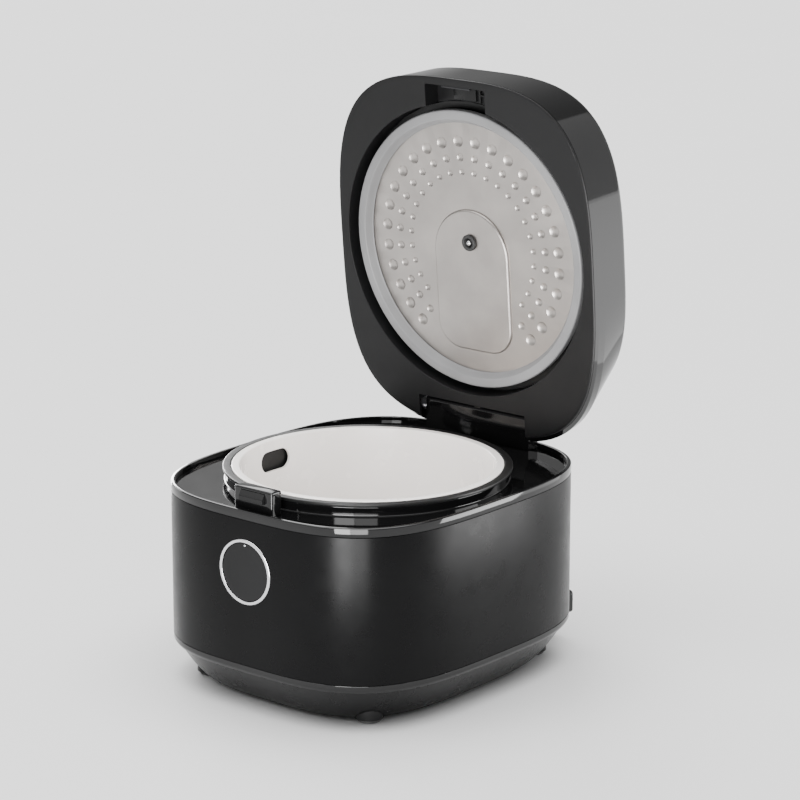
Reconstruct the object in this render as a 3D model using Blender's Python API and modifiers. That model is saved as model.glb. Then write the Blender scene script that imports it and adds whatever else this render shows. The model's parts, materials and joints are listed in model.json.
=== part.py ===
"""Three-litre electric rice cooker with a hinged lid, a lift-out pot and a steaming basket.

Metres, +Z up, front towards -Y. The lid stands open, and the pot and the basket are seated.
Every height is measured from the table, and every place in plan from the middle of the body.
"""

import math

import bmesh
import bpy
from mathutils import Matrix, Vector

# ---- Driving sizes, in metres ----

GAP = 0.0003  # left between two pieces that touch
OUTLINE_POINTS = 40
ROUND_STEPS = 32
SMALL_STEPS = 16

# Inner pot: its size sets the size of the whole cooker.
POT_WALL_RADIUS = 0.1065
POT_DEPTH = 0.115
POT_WALL = 0.002
POT_FLANGE_WIDTH = 0.0085
POT_FLANGE_THICKNESS = 0.0027
POT_STEP_DEPTH = 0.0018
POT_STEP_RADIUS_SHARE = 0.42  # how far out over the flange the basket's seat reaches
POT_FLOOR_RADIUS = 0.018
POT_CLEARANCE = 0.0021  # round the pot's wall, inside the collar

# Body
SIDE_MARGIN = 0.015  # from the pot's rim to the side of the body
FRONT_MARGIN = 0.0292
REAR_MARGIN = 0.0418
OUTLINE_POWER = 3.26  # 2 is an ellipse, and a large number is a rectangle
SPACE_UNDER_POT = 0.054
SHELL_WALL = 0.0022
BASE_BOTTOM = 0.0025
BASE_SEAM = 0.038
BASE_TUCK = 0.026  # how far the base curves in under the body
BASE_WALL = 0.0025
BAND_HEIGHT = 0.0065
RIM_HEIGHT = 0.0075
RIM_WIDTH = 0.0033
DECK_RECESS = 0.004
DECK_THICKNESS = 0.0025
POT_PROUD = 0.0065  # the pot's rim above the body's rim
COLLAR_WIDTH = 0.0042

# Feet and case screws
FOOT_RADIUS = 0.0094
FOOT_POCKET = 0.0095
FOOT_INSET = Vector((0.047, 0.0485))
BOSS_WALL = 0.0016
BOSS_TOP = 0.0275
POST_RADIUS = 0.006
SCREW_RADIUS = 0.002
SCREW_HEAD_RADIUS = 0.004
SCREW_HEAD_HEIGHT = 0.0025
SCREW_LENGTH = 0.028

# Steaming basket
BASKET_RIM_RADIUS = POT_WALL_RADIUS + 0.0015
BASKET_WALL_RADIUS = POT_WALL_RADIUS - 0.0029
BASKET_FLOOR_SHARE = 0.946  # radius at the floor as a share of the radius at the rim
BASKET_HEIGHT = 0.068
BASKET_WALL = 0.0019
BASKET_LIP = 0.0018
BASKET_FILLET = 0.010
HAND_HOLE_WIDTH = 0.034
HAND_HOLE_HEIGHT = 0.0165
HAND_HOLE_DROP = 0.0069  # from the lip to the top of the hand hole
DRAIN_HOLE_RADIUS = 0.0032
DRAIN_RINGS = ((0.0, 1), (0.032, 6), (0.064, 12))
TAB_WIDTH = 0.0135
TAB_HEIGHT = 0.010
TAB_PROUD = 0.0003
TAB_ANGLES = (0, 45, 135, 180, 225, 315)  # degrees from the front

# Heating plate and its sensor
PLATE_RADIUS = 0.080
PLATE_THICKNESS = 0.008
SENSOR_RADIUS = 0.018
SENSOR_HEIGHT = 0.0195
SENSOR_TRAVEL = 0.003
HEATER_RING_RADIUS = 0.058
HEATER_TUBE_RADIUS = 0.0034
LEG_CIRCLE_RADIUS = 0.072
LEG_RADIUS = 0.004
LINER_WALL = 0.0012

# Front button, lever and lid latch
BUTTON_DROP = 0.0488  # from the body's rim to the middle of the button
RING_RADIUS = 0.0261
RING_WIDTH = 0.0026
RING_PROUD = 0.0007
BUTTON_THICKNESS = 0.0028
BUTTON_STEM_RADIUS = 0.004
LEVER_THICKNESS = 0.002
LEVER_WIDTH = 0.014
LEVER_PIN_RADIUS = 0.0016
LEVER_PIVOT_Z = 0.0564
LATCH_WIDTH = 0.0387
LATCH_DEPTH = 0.0115
LATCH_HEIGHT = 0.0191
LATCH_INSET = 0.010  # from the front of the body to the latch
LATCH_WALL = 0.0012
TONGUE_WIDTH = 0.024
TONGUE_LOW = 0.009  # above the deck
TONGUE_HEIGHT = 0.0078
TONGUE_PROUD = 0.0029
BOLT_DEPTH = 0.0055

# Lid and hinge
LID_OPEN_ANGLE = math.radians(84.9)
LID_THICKNESS = 0.053
LID_LIFT = 0.002  # between the body's rim and the closed lid
LID_DRAFT = 0.0701  # metres inwards for each metre up, as is the slope at the rear
LID_TOP_RADIUS = 0.008
LID_WALL = 0.0025
LID_REAR_SLOPE = 0.8767
LID_REAR_HEEL = 0.007
LID_REAR_WALL = 0.0095  # upright part between the heel and the slope
HINGE_INSET = 0.0134
HINGE_RISE = 0.0143  # above the body's rim
HINGE_PIN_RADIUS = 0.0025
TOWER_HALF_WIDTH = 0.054
TOWER_FRONT = 0.0056  # in front of the pin
TOWER_REAR = 0.0064
TOWER_TOP = 0.0102  # above the pin
TOWER_WALL = 0.0015
NOTCH_SIDE_GAP = 0.0015
NOTCH_REACH = 0.014  # in front of the pin
NOTCH_RISE = 0.016  # above the pin
FRAME_HEIGHT = 0.0195
FRAME_PLATE = 0.0022
FRAME_WALL = 0.0018
WELL_RADIUS = POT_WALL_RADIUS + 0.015
PLATE_SETBACK = 0.0013  # the inner lid's centre, in front of the pot's
RECESS_HALF_WIDTH = 0.0305
RECESS_HEIGHT = 0.016
RECESS_FRONT = 0.0065  # wall left in front of the latch recess
GASKET_RADIUS = POT_WALL_RADIUS + 0.0093
GASKET_WIDTH = 0.0118
GASKET_FRONT = 0.007  # above the body's rim, with the lid closed
INNER_LID_RADIUS = POT_WALL_RADIUS + 0.0055
INNER_LID_FRONT = 0.014
INNER_LID_WALL = 0.0009
STADIUM_RADIUS = 0.038
STADIUM_REACH = 0.087  # from the plate's centre to the panel's straight end
STADIUM_DEPTH = 0.0023
VALVE_RADIUS = 0.0068
VALVE_SHIFT = 0.0055
VALVE_PROUD = 0.005
VENT_Y = 0.045
VENT_CAP_RADIUS = 0.0216
DUCT_RADIUS = 0.0146
DUCT_WALL = 0.002

# Mains inlet, at the rear on the right
INLET_X = (0.052, 0.085)
INLET_Z = (0.021, 0.040)
INLET_LENGTH = 0.0255
INLET_PROUD = 0.003
SOCKET_WALL = 0.0035
SOCKET_DEPTH = 0.0155
BLADE_GAP = 0.006
BLADE_SIZE = Vector((0.0018, 0.0105, 0.005))

# ---- Places worked out from the sizes above ----

POT_RIM_RADIUS = POT_WALL_RADIUS + POT_FLANGE_WIDTH
HALF_WIDTH = POT_RIM_RADIUS + SIDE_MARGIN
HALF_DEPTH = POT_RIM_RADIUS + (FRONT_MARGIN + REAR_MARGIN) / 2
POT_Y = (FRONT_MARGIN - REAR_MARGIN) / 2
POT_RIM_Z = SPACE_UNDER_POT + POT_DEPTH
RIM_TOP = POT_RIM_Z - POT_PROUD
SHELL_TOP = RIM_TOP - RIM_HEIGHT
DECK_TOP = RIM_TOP - DECK_RECESS
COLLAR_TOP = POT_RIM_Z - POT_FLANGE_THICKNESS - GAP
COLLAR_HOLE = POT_WALL_RADIUS + POT_CLEARANCE
PLATE_TOP = SPACE_UNDER_POT - GAP
PLATE_LOW = PLATE_TOP - PLATE_THICKNESS
LINER_LOW = PLATE_LOW - 0.004
BUTTON_Z = RIM_TOP - BUTTON_DROP
HINGE_Y = HALF_DEPTH - HINGE_INSET
HINGE_Z = RIM_TOP + HINGE_RISE
LID_LOW = RIM_TOP + LID_LIFT
LID_TOP = LID_LOW + LID_THICKNESS
LID_SHOULDER = LID_TOP - LID_TOP_RADIUS
LID_SHELL_LOW = LID_LOW + FRAME_PLATE
FRAME_TOP = LID_LOW + FRAME_HEIGHT
NOTCH_HALF_WIDTH = TOWER_HALF_WIDTH + NOTCH_SIDE_GAP
NOTCH_FRONT = HINGE_Y - NOTCH_REACH
NOTCH_TOP = HINGE_Z + NOTCH_RISE
LID_CENTRE_Y = POT_Y - PLATE_SETBACK
RECESS_Y = -HALF_DEPTH + RECESS_FRONT
LATCH_FRONT = -HALF_DEPTH + LATCH_INSET
LATCH_REAR = LATCH_FRONT + LATCH_DEPTH
LATCH_TOP = DECK_TOP + LATCH_HEIGHT
TONGUE_Z = DECK_TOP + TONGUE_LOW
BOLT_FRONT = LATCH_FRONT + LATCH_WALL + GAP
BOLT_REAR = BOLT_FRONT + BOLT_DEPTH
BOLT_TRAVEL = LATCH_REAR - LATCH_WALL - GAP - BOLT_REAR
LEVER_Y = (BOLT_FRONT + BOLT_REAR) / 2
LEVER_TOP = TONGUE_Z + TONGUE_HEIGHT / 2
BUTTON_TRAVEL = BOLT_TRAVEL * (BUTTON_Z - LEVER_PIVOT_Z) / (LEVER_TOP - LEVER_PIVOT_Z)
INNER_LID_Z = RIM_TOP + INNER_LID_FRONT
GASKET_Z = RIM_TOP + GASKET_FRONT
INLET_REAR = HALF_DEPTH + INLET_PROUD
OPEN_REACH = HINGE_Y + (LID_TOP - HINGE_Z) * math.sin(LID_OPEN_ANGLE)
REST_CENTRE_Y = (OPEN_REACH - HALF_DEPTH) / 2  # the middle of the cooker with its lid open
FOOT_PLACES = {
    f"{row}_{side}": (x, y)
    for row, y in (("front", FOOT_INSET.y - HALF_DEPTH), ("rear", HALF_DEPTH - FOOT_INSET.y))
    for side, x in (("left", FOOT_INSET.x - HALF_WIDTH), ("right", HALF_WIDTH - FOOT_INSET.x))
}

# ---- Scene, collections and materials ----


def clear_scene():
    for old in list(bpy.data.objects):
        bpy.data.objects.remove(old, do_unlink=True)


def new_collection(name):
    collection = bpy.data.collections.new(name)
    bpy.context.scene.collection.children.link(collection)
    return collection


def new_material(name, colour, roughness, metallic=0.0):
    material = bpy.data.materials.new(name)
    material.use_nodes = True
    shader = material.node_tree.nodes["Principled BSDF"]
    shader.inputs["Base Color"].default_value = (*colour, 1.0)
    shader.inputs["Roughness"].default_value = roughness
    shader.inputs["Metallic"].default_value = metallic
    material.diffuse_color = (*colour, 1.0)
    return material


clear_scene()
PARTS = new_collection("rice_cooker")
CUTTERS = new_collection("cutters")
CUTTERS.hide_render = True

SATIN_BLACK = new_material("satin_black", (0.022, 0.022, 0.023), 0.38)
GLOSS_BLACK = new_material("gloss_black", (0.010, 0.010, 0.011), 0.10)
MATTE_GREY = new_material("matte_dark_grey", (0.045, 0.045, 0.046), 0.55)
POT_BLACK = new_material("pot_coating", (0.020, 0.020, 0.020), 0.33)
BASKET_WHITE = new_material("warm_white", (0.80, 0.77, 0.73), 0.28)
STEEL = new_material("stainless_steel", (0.56, 0.53, 0.50), 0.30, 1.0)
SPRING_STEEL = new_material("spring_steel", (0.45, 0.45, 0.46), 0.35, 1.0)
CHROME = new_material("chrome", (0.80, 0.80, 0.82), 0.08, 1.0)
SILICONE = new_material("grey_silicone", (0.42, 0.42, 0.42), 0.50)
RUBBER = new_material("black_rubber", (0.012, 0.012, 0.012), 0.65)
ALUMINIUM = new_material("cast_aluminium", (0.66, 0.67, 0.68), 0.42, 1.0)
BOARD_GREEN = new_material("circuit_board", (0.03, 0.16, 0.07), 0.45)
DARK_PLASTIC = new_material("dark_plastic", (0.03, 0.03, 0.03), 0.5)
BRASS = new_material("brass", (0.62, 0.45, 0.20), 0.3, 1.0)
INDICATOR = new_material("indicator", (0.55, 0.56, 0.58), 0.2)

# ---- Frames that pieces ride on ----


def new_empty(name, place, parent=None, turn=0.0):
    empty = bpy.data.objects.new(name, None)
    empty.empty_display_size = 0.02
    empty.location = place
    empty.rotation_euler = (turn, 0.0, 0.0)
    empty.parent = parent
    PARTS.objects.link(empty)
    return empty


HINGE_PLACE = Vector((0.0, HINGE_Y, HINGE_Z))
BODY = new_empty("body_middle", (0.0, -REST_CENTRE_Y, 0.0))
LID = new_empty("lid_hinge_axis", HINGE_PLACE, BODY, -LID_OPEN_ANGLE)


def ride(obj, frame):
    """Puts a piece on a frame. Lid pieces are drawn closed, and the frame swings them open."""
    obj.parent = frame
    if frame is LID:
        obj.location -= HINGE_PLACE


# ---- Shape tools ----


def add_object(name, mesh, material, frame, place=(0.0, 0.0, 0.0)):
    obj = bpy.data.objects.new(name, mesh)
    obj.location = place
    if material is None:
        CUTTERS.objects.link(obj)
        obj.hide_render = True
        obj.display_type = "WIRE"
    else:
        PARTS.objects.link(obj)
        mesh.materials.append(material)
        mesh.shade_smooth()
        mesh.set_sharp_from_angle(angle=math.radians(35))
    ride(obj, frame)
    return obj


def mesh_from(name, form):
    mesh = bpy.data.meshes.new(name)
    bmesh.ops.recalc_face_normals(form, faces=form.faces)
    form.to_mesh(mesh)
    form.free()
    return mesh


def box(name, low, high, material=None, frame=BODY, bevel=0.0, edges=None):
    """A box between two corners. The bevel rounds all its edges, or those that edges() picks."""
    form = bmesh.new()
    bmesh.ops.create_cube(form, size=1.0)
    low, high = Vector(low), Vector(high)
    middle = (low + high) / 2
    bmesh.ops.scale(form, vec=high - low, verts=form.verts)
    if bevel:
        chosen = [e for e in form.edges if edges is None or edges(e)]
        bmesh.ops.bevel(
            form, geom=chosen, offset=bevel, segments=3, profile=0.5, affect="EDGES"
        )
    return add_object(name, mesh_from(name, form), material, frame, middle)


def along(axis):
    """Picks the edges that run along one axis."""
    return lambda edge: abs((edge.verts[0].co - edge.verts[1].co).normalized()[axis]) > 0.99


def cylinder(name, place, radius, length, material=None, frame=BODY, axis="Z", steps=SMALL_STEPS):
    """A cylinder from place, length along its axis."""
    form = bmesh.new()
    bmesh.ops.create_cone(
        form, cap_ends=True, segments=steps, radius1=radius, radius2=radius, depth=length
    )
    bmesh.ops.translate(form, vec=(0.0, 0.0, length / 2), verts=form.verts)
    obj = add_object(name, mesh_from(name, form), material, frame, place)
    if axis == "X":
        obj.rotation_euler = (0.0, math.pi / 2, 0.0)
    if axis == "-Y":
        obj.rotation_euler = (math.pi / 2, 0.0, 0.0)
    return obj


def turned(name, profile, place, material=None, frame=BODY, steps=ROUND_STEPS, loop=False):
    """A profile of (radius, height) turned about Z. It runs down the outer side first."""
    mesh = bpy.data.meshes.new(name)
    points = [(r, 0.0, z) for r, z in profile]
    joins = [(i, i + 1) for i in range(len(points) - 1)]
    if loop:
        joins.append((len(points) - 1, 0))
    mesh.from_pydata(points, joins, [])
    obj = add_object(name, mesh, material, frame, place)
    screw = obj.modifiers.new("turn", "SCREW")
    screw.axis = "Z"
    screw.angle = 2 * math.pi
    screw.steps = steps
    screw.render_steps = steps
    screw.use_merge_vertices = True
    screw.merge_threshold = 0.00001
    screw.use_smooth_shade = True
    return obj


def facing_front(obj):
    """Turns a piece that was turned about Z, so that its top faces the front."""
    obj.rotation_euler = (math.pi / 2, 0.0, 0.0)
    return obj


def outline(inset, z, rear_inset=0.0):
    """The body's outline in plan. rear_inset draws the rear half in further."""
    half_width, half_depth = HALF_WIDTH - inset, HALF_DEPTH - inset
    points = []
    for i in range(OUTLINE_POINTS):
        angle = 2 * math.pi * i / OUTLINE_POINTS
        across, deep = math.cos(angle), math.sin(angle)
        reach = (
            abs(across / half_width) ** OUTLINE_POWER + abs(deep / half_depth) ** OUTLINE_POWER
        ) ** (-1 / OUTLINE_POWER)
        y = reach * deep
        if y > 0:
            y *= (half_depth - rear_inset) / half_depth
        points.append((reach * across, y, z))
    return points


def loft(name, rings, material=None, frame=BODY, loop=False):
    """Rings of the same number of points, joined in turn, with caps or back to the first."""
    form = bmesh.new()
    rows = [[form.verts.new(point) for point in ring] for ring in rings]
    pairs = list(zip(rows, rows[1:]))
    if loop:
        pairs.append((rows[-1], rows[0]))
    else:
        form.faces.new(rows[0])
        form.faces.new(rows[-1])
    count = len(rows[0])
    for lower, upper in pairs:
        for i in range(count):
            j = (i + 1) % count
            form.faces.new((lower[i], lower[j], upper[j], upper[i]))
    return add_object(name, mesh_from(name, form), material, frame)


def prism(name, profile, x_low, x_high, material=None, frame=BODY):
    """An outline of (y, z) points, pushed out along X."""
    form = bmesh.new()
    face = form.faces.new([form.verts.new((x_low, y, z)) for y, z in profile])
    pushed = bmesh.ops.extrude_face_region(form, geom=[face])["geom"]
    moved = [v for v in pushed if isinstance(v, bmesh.types.BMVert)]
    bmesh.ops.translate(form, vec=(x_high - x_low, 0.0, 0.0), verts=moved)
    return add_object(name, mesh_from(name, form), material, frame)


def combine(obj, other, operation):
    step = obj.modifiers.new(f"{operation.lower()}_{other.name}", "BOOLEAN")
    step.operation = operation
    step.object = other
    step.solver = "EXACT"


def cut(obj, *others):
    for other in others:
        combine(obj, other, "DIFFERENCE")
    return obj


def join(obj, *others):
    for other in others:
        combine(obj, other, "UNION")


def spring(name, place, radius, wire, length, turns, material, frame=BODY, axis="Z"):
    """A coil of wire that starts at place and runs along its axis."""
    per_turn = 8
    count = int(turns * per_turn)
    curve = bpy.data.curves.new(name, "CURVE")
    curve.dimensions = "3D"
    curve.bevel_depth = wire
    curve.bevel_resolution = 0
    curve.use_fill_caps = True
    line = curve.splines.new("POLY")
    line.points.add(count)
    for i, point in enumerate(line.points):
        angle = 2 * math.pi * i / per_turn
        rise = wire + (length - 2 * wire) * i / count
        across, deep = radius * math.cos(angle), radius * math.sin(angle)
        spot = {
            "Z": (across, deep, rise), "X": (rise, across, deep), "-Y": (across, -rise, deep)
        }[axis]
        point.co = (*spot, 1.0)
    obj = bpy.data.objects.new(name, curve)
    obj.location = place
    curve.materials.append(material)
    PARTS.objects.link(obj)
    ride(obj, frame)
    return obj


# ---- Base ----


def base_profile(wall=0.0):
    """(inset, height) from under the band down to the flat bottom, moved inwards by wall."""
    steps = 4
    top = BASE_SEAM - BAND_HEIGHT - GAP
    start = 1 - ((top - BASE_BOTTOM) / (BASE_SEAM - BASE_BOTTOM)) ** (2 / 3)
    points = []
    for i in range(steps + 1):
        share = start + (1 - start) * i / steps
        z = BASE_BOTTOM + (BASE_SEAM - BASE_BOTTOM) * (1 - share) ** 1.5
        lift = wall * share
        points.append((BASE_TUCK * share + wall * (1.3 - 0.9 * share), min(z + lift, top)))
    return points


def make_base():
    outer = base_profile()
    inner = base_profile(BASE_WALL)
    inner[0] = (inner[0][0], outer[0][1])
    rings = [outline(inset, z) for inset, z in reversed(outer)]
    rings += [outline(inset, z) for inset, z in inner]
    pan = loft("base_pan", rings, DARK_PLASTIC)
    boss_low = BASE_BOTTOM + GAP
    pocket_top = boss_low + FOOT_POCKET
    seat_top = pocket_top + SCREW_HEAD_HEIGHT + GAP
    for where, (x, y) in FOOT_PLACES.items():
        radius = FOOT_RADIUS + GAP + BOSS_WALL
        boss = cylinder(f"boss_{where}", (x, y, boss_low), radius, BOSS_TOP - boss_low, steps=16)
        join(pan, boss)
    for where, (x, y) in FOOT_PLACES.items():
        pocket = cylinder(f"foot_pocket_{where}", (x, y, 0.0), FOOT_RADIUS + GAP, pocket_top)
        seat = cylinder(
            f"head_seat_{where}", (x, y, 0.001), SCREW_HEAD_RADIUS + GAP, seat_top, steps=12
        )
        hole = cylinder(
            f"screw_hole_{where}", (x, y, 0.002), SCREW_RADIUS + GAP, BOSS_TOP, steps=12
        )
        cut(pan, pocket, seat, hole)
    band_low = BASE_SEAM - BAND_HEIGHT
    band_top = BASE_SEAM - GAP
    profile = ((0.0, band_top), (0.0004, band_low + 0.002), (0.0012, band_low))
    profile += ((RIM_WIDTH, band_low), (RIM_WIDTH, band_top))
    band = loft(
        "base_band", [outline(inset, z) for inset, z in profile], GLOSS_BLACK, loop=True
    )
    return pan, band


def make_feet():
    low = BASE_BOTTOM + GAP
    for where, (x, y) in FOOT_PLACES.items():
        profile = (
            (0.0, low + FOOT_POCKET - GAP), (FOOT_RADIUS, low + FOOT_POCKET - GAP),
            (FOOT_RADIUS, 0.0012), (FOOT_RADIUS - 0.0012, 0.0), (0.0, 0.0),
        )
        turned(f"foot_{where}", profile, (x, y, 0.0), RUBBER, steps=SMALL_STEPS)
        head = low + FOOT_POCKET + GAP
        shaft = head + SCREW_HEAD_HEIGHT
        profile = (
            (0.0, shaft + SCREW_LENGTH), (SCREW_RADIUS, shaft + SCREW_LENGTH),
            (SCREW_RADIUS, shaft), (SCREW_HEAD_RADIUS, shaft), (SCREW_HEAD_RADIUS, head), (0.0, head),
        )
        turned(f"case_screw_{where}", profile, (x, y, 0.0), SPRING_STEEL, steps=12)


# ---- Body shell, rim and deck ----


def make_shell():
    low, high = BASE_SEAM, SHELL_TOP
    profile = ((0.0, low), (0.0, high), (SHELL_WALL, high), (SHELL_WALL, low))
    shell = loft("outer_shell", [outline(i, z) for i, z in profile], SATIN_BLACK, loop=True)
    hole_start = -HALF_DEPTH + SHELL_WALL + 0.004
    cut(shell, cylinder(
        "ring_hole", (0.0, hole_start, BUTTON_Z), RING_RADIUS + GAP, 0.02,
        axis="-Y", steps=ROUND_STEPS,
    ))
    return shell


def make_rim():
    low = SHELL_TOP + GAP
    profile = (
        (0.0, low), (0.0, RIM_TOP - 0.0012), (0.0005, RIM_TOP - 0.0003), (0.0013, RIM_TOP),
        (RIM_WIDTH - 0.0008, RIM_TOP), (RIM_WIDTH, RIM_TOP - 0.0008), (RIM_WIDTH, low),
    )
    loft("rim_band", [outline(i, z) for i, z in profile], GLOSS_BLACK, loop=True)


def make_deck():
    low = DECK_TOP - DECK_THICKNESS
    inset = RIM_WIDTH + GAP
    deck = loft("top_deck", [outline(inset, low), outline(inset, DECK_TOP)], GLOSS_BLACK)
    outer = COLLAR_HOLE + COLLAR_WIDTH
    collar = turned("collar", (
        (outer - 0.0006, COLLAR_TOP), (outer, COLLAR_TOP - 0.0006), (outer, DECK_TOP + 0.002),
        (outer + 0.0018, DECK_TOP + 0.0005), (outer + 0.0018, low + 0.001),
        (COLLAR_HOLE - 0.002, low + 0.001), (COLLAR_HOLE - 0.002, COLLAR_TOP),
    ), (0.0, POT_Y, 0.0), loop=True)
    join(deck, collar)
    post_low = BOSS_TOP + GAP
    for where, (x, y) in FOOT_PLACES.items():
        post = cylinder(
            f"post_{where}", (x, y, post_low), POST_RADIUS, low - post_low + 0.001, steps=12
        )
        join(deck, post)
    for where, (x, y) in FOOT_PLACES.items():
        depth = SCREW_LENGTH + 0.001
        hole = cylinder(f"post_hole_{where}", (x, y, 0.016), SCREW_RADIUS + GAP, depth, steps=12)
        cut(deck, hole)
    well = cylinder(
        "deck_well", (0.0, POT_Y, low - 0.01), COLLAR_HOLE, COLLAR_TOP - low + 0.02, steps=ROUND_STEPS
    )
    slot = box(
        "lever_slot",
        (-LEVER_WIDTH / 2 - 0.001, LEVER_Y - LEVER_THICKNESS, low - 0.002),
        (LEVER_WIDTH / 2 + 0.001, LATCH_REAR - LATCH_WALL, DECK_TOP + 0.002),
    )
    cut(deck, well, slot)


# ---- Pot, basket and what heats them ----


def make_pot():
    """The pot, drawn from its own floor up. Its flange has a step that the basket's lip sits in."""
    wall, rim, top = POT_WALL_RADIUS, POT_RIM_RADIUS, POT_DEPTH
    inner = wall - POT_WALL
    under = top - POT_FLANGE_THICKNESS
    step_z = top - POT_STEP_DEPTH
    step_radius = inner + (rim - inner) * POT_STEP_RADIUS_SHARE
    bend = POT_FLOOR_RADIUS
    corner = [
        (wall - bend + bend * math.cos(t), bend - bend * math.sin(t))
        for t in (math.radians(a) for a in (0, 30, 60, 90))
    ]
    inside = bend - POT_WALL
    inner_corner = [
        (inner - inside + inside * math.cos(t), bend - inside * math.sin(t))
        for t in (math.radians(a) for a in (90, 60, 30, 0))
    ]
    profile = [(step_radius, step_z), (step_radius + 0.0004, top)]
    profile += [(rim - 0.0012, top), (rim - 0.0003, top - 0.0004), (rim, top - 0.0012)]
    profile += [(rim - 0.0002, under + 0.0004), (rim - 0.001, under), (wall + 0.0016, under)]
    profile += [(wall, under - 0.002)] + corner + [(0.0, 0.0), (0.0, POT_WALL)]
    profile += inner_corner + [(inner, step_z - 0.001), (inner + 0.0006, step_z)]
    place = (0.0, POT_Y, SPACE_UNDER_POT)
    turned("inner_pot", from_axis(profile), place, POT_BLACK)


def from_axis(loop):
    """Opens a closed profile that touches the axis twice, so that it starts and ends there."""
    on_axis = [i for i, (radius, _) in enumerate(loop) if radius == 0.0]
    first, last = on_axis
    return loop[last:] + loop[: first + 1]


def basket_radius(height):
    """The basket's outer radius at a height above its floor."""
    floor = BASKET_WALL_RADIUS * BASKET_FLOOR_SHARE
    return floor + (BASKET_WALL_RADIUS - floor) * height / BASKET_HEIGHT


def make_basket():
    height, wall, fillet = BASKET_HEIGHT, BASKET_WALL, BASKET_FILLET
    turn = fillet - wall
    base = basket_radius(fillet)
    inner_base = base - wall
    corner = [
        (base - fillet + fillet * math.cos(t), fillet - fillet * math.sin(t))
        for t in (math.radians(a) for a in (0, 45, 90))
    ]
    inner_corner = [
        (inner_base - turn + turn * math.cos(t), fillet - turn * math.sin(t))
        for t in (math.radians(a) for a in (90, 45, 0))
    ]
    lip_low = height - BASKET_LIP
    top_radius = basket_radius(lip_low)
    profile = [(0.0, wall)] + inner_corner + [(top_radius - wall, height - 0.0008)]
    profile += [(top_radius - wall + 0.001, height), (BASKET_RIM_RADIUS - 0.0006, height)]
    profile += [(BASKET_RIM_RADIUS, height - 0.0006), (BASKET_RIM_RADIUS, lip_low)]
    profile += [(top_radius, lip_low)] + corner + [(0.0, 0.0)]
    place = Vector((0.0, POT_Y, POT_RIM_Z - POT_STEP_DEPTH + GAP + BASKET_LIP - height))
    basket = turned("steam_basket", profile, place, BASKET_WHITE)
    join(basket, make_tabs(place, lip_low))
    cut(basket, make_hand_hole(place), make_drain_holes(place))


def make_tabs(place, lip_low):
    """Short ribs under the lip, to be joined to the basket."""
    form = bmesh.new()
    for angle in TAB_ANGLES:
        made = bmesh.ops.create_cube(form, size=1.0)["verts"]
        low_radius = basket_radius(lip_low - TAB_HEIGHT) - BASKET_WALL / 2
        high_radius = basket_radius(lip_low) + TAB_PROUD
        size = Vector((TAB_WIDTH, high_radius - low_radius, TAB_HEIGHT + 0.0005))
        bmesh.ops.scale(form, vec=size, verts=made)
        middle = (0.0, -(low_radius + high_radius) / 2, lip_low - TAB_HEIGHT / 2 + 0.0003)
        bmesh.ops.translate(form, vec=middle, verts=made)
        spin = Matrix.Rotation(math.radians(angle), 3, "Z")
        bmesh.ops.rotate(form, verts=made, cent=(0.0, 0.0, 0.0), matrix=spin)
    return add_object("basket_tabs", mesh_from("basket_tabs", form), None, BODY, place)


def make_hand_hole(place):
    """One stadium bar right across the basket, which cuts a hole in each side."""
    form = bmesh.new()
    radius = HAND_HOLE_HEIGHT / 2
    reach = HAND_HOLE_WIDTH / 2 - radius
    middle = BASKET_HEIGHT - BASKET_LIP - HAND_HOLE_DROP - radius
    points = []
    for side in (1, -1):
        for i in range(9):
            angle = -math.pi / 2 + math.pi * i / 8
            across = side * (reach + radius * math.cos(angle))
            points.append((across, middle + side * radius * math.sin(angle)))
    x = BASKET_RIM_RADIUS + 0.01
    face = form.faces.new([form.verts.new((-x, y, z)) for y, z in points])
    pushed = bmesh.ops.extrude_face_region(form, geom=[face])["geom"]
    moved = [v for v in pushed if isinstance(v, bmesh.types.BMVert)]
    bmesh.ops.translate(form, vec=(2 * x, 0.0, 0.0), verts=moved)
    return add_object("hand_hole", mesh_from("hand_hole", form), None, BODY, place)


def make_drain_holes(place):
    form = bmesh.new()
    for ring, count in DRAIN_RINGS:
        for i in range(count):
            made = bmesh.ops.create_cone(
                form, cap_ends=True, segments=6, radius1=DRAIN_HOLE_RADIUS,
                radius2=DRAIN_HOLE_RADIUS, depth=BASKET_WALL * 4,
            )["verts"]
            angle = 2 * math.pi * i / count
            middle = (ring * math.cos(angle), ring * math.sin(angle), BASKET_WALL / 2)
            bmesh.ops.translate(form, vec=middle, verts=made)
    return add_object("drain_holes", mesh_from("drain_holes", form), None, BODY, place)


def make_liner():
    """Sheet-metal well round the pot, from under the deck to the level of the heating plate."""
    outer = COLLAR_HOLE + LINER_WALL + 0.0002
    inner = COLLAR_HOLE + 0.0002
    top = DECK_TOP - DECK_THICKNESS - GAP
    flange = PLATE_RADIUS + 0.006
    profile = (
        (outer, top), (outer, LINER_LOW), (flange, LINER_LOW), (flange, LINER_LOW + LINER_WALL),
        (inner, LINER_LOW + LINER_WALL), (inner, top),
    )
    turned("well_liner", profile, (0.0, POT_Y, 0.0), ALUMINIUM, loop=True)


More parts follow.
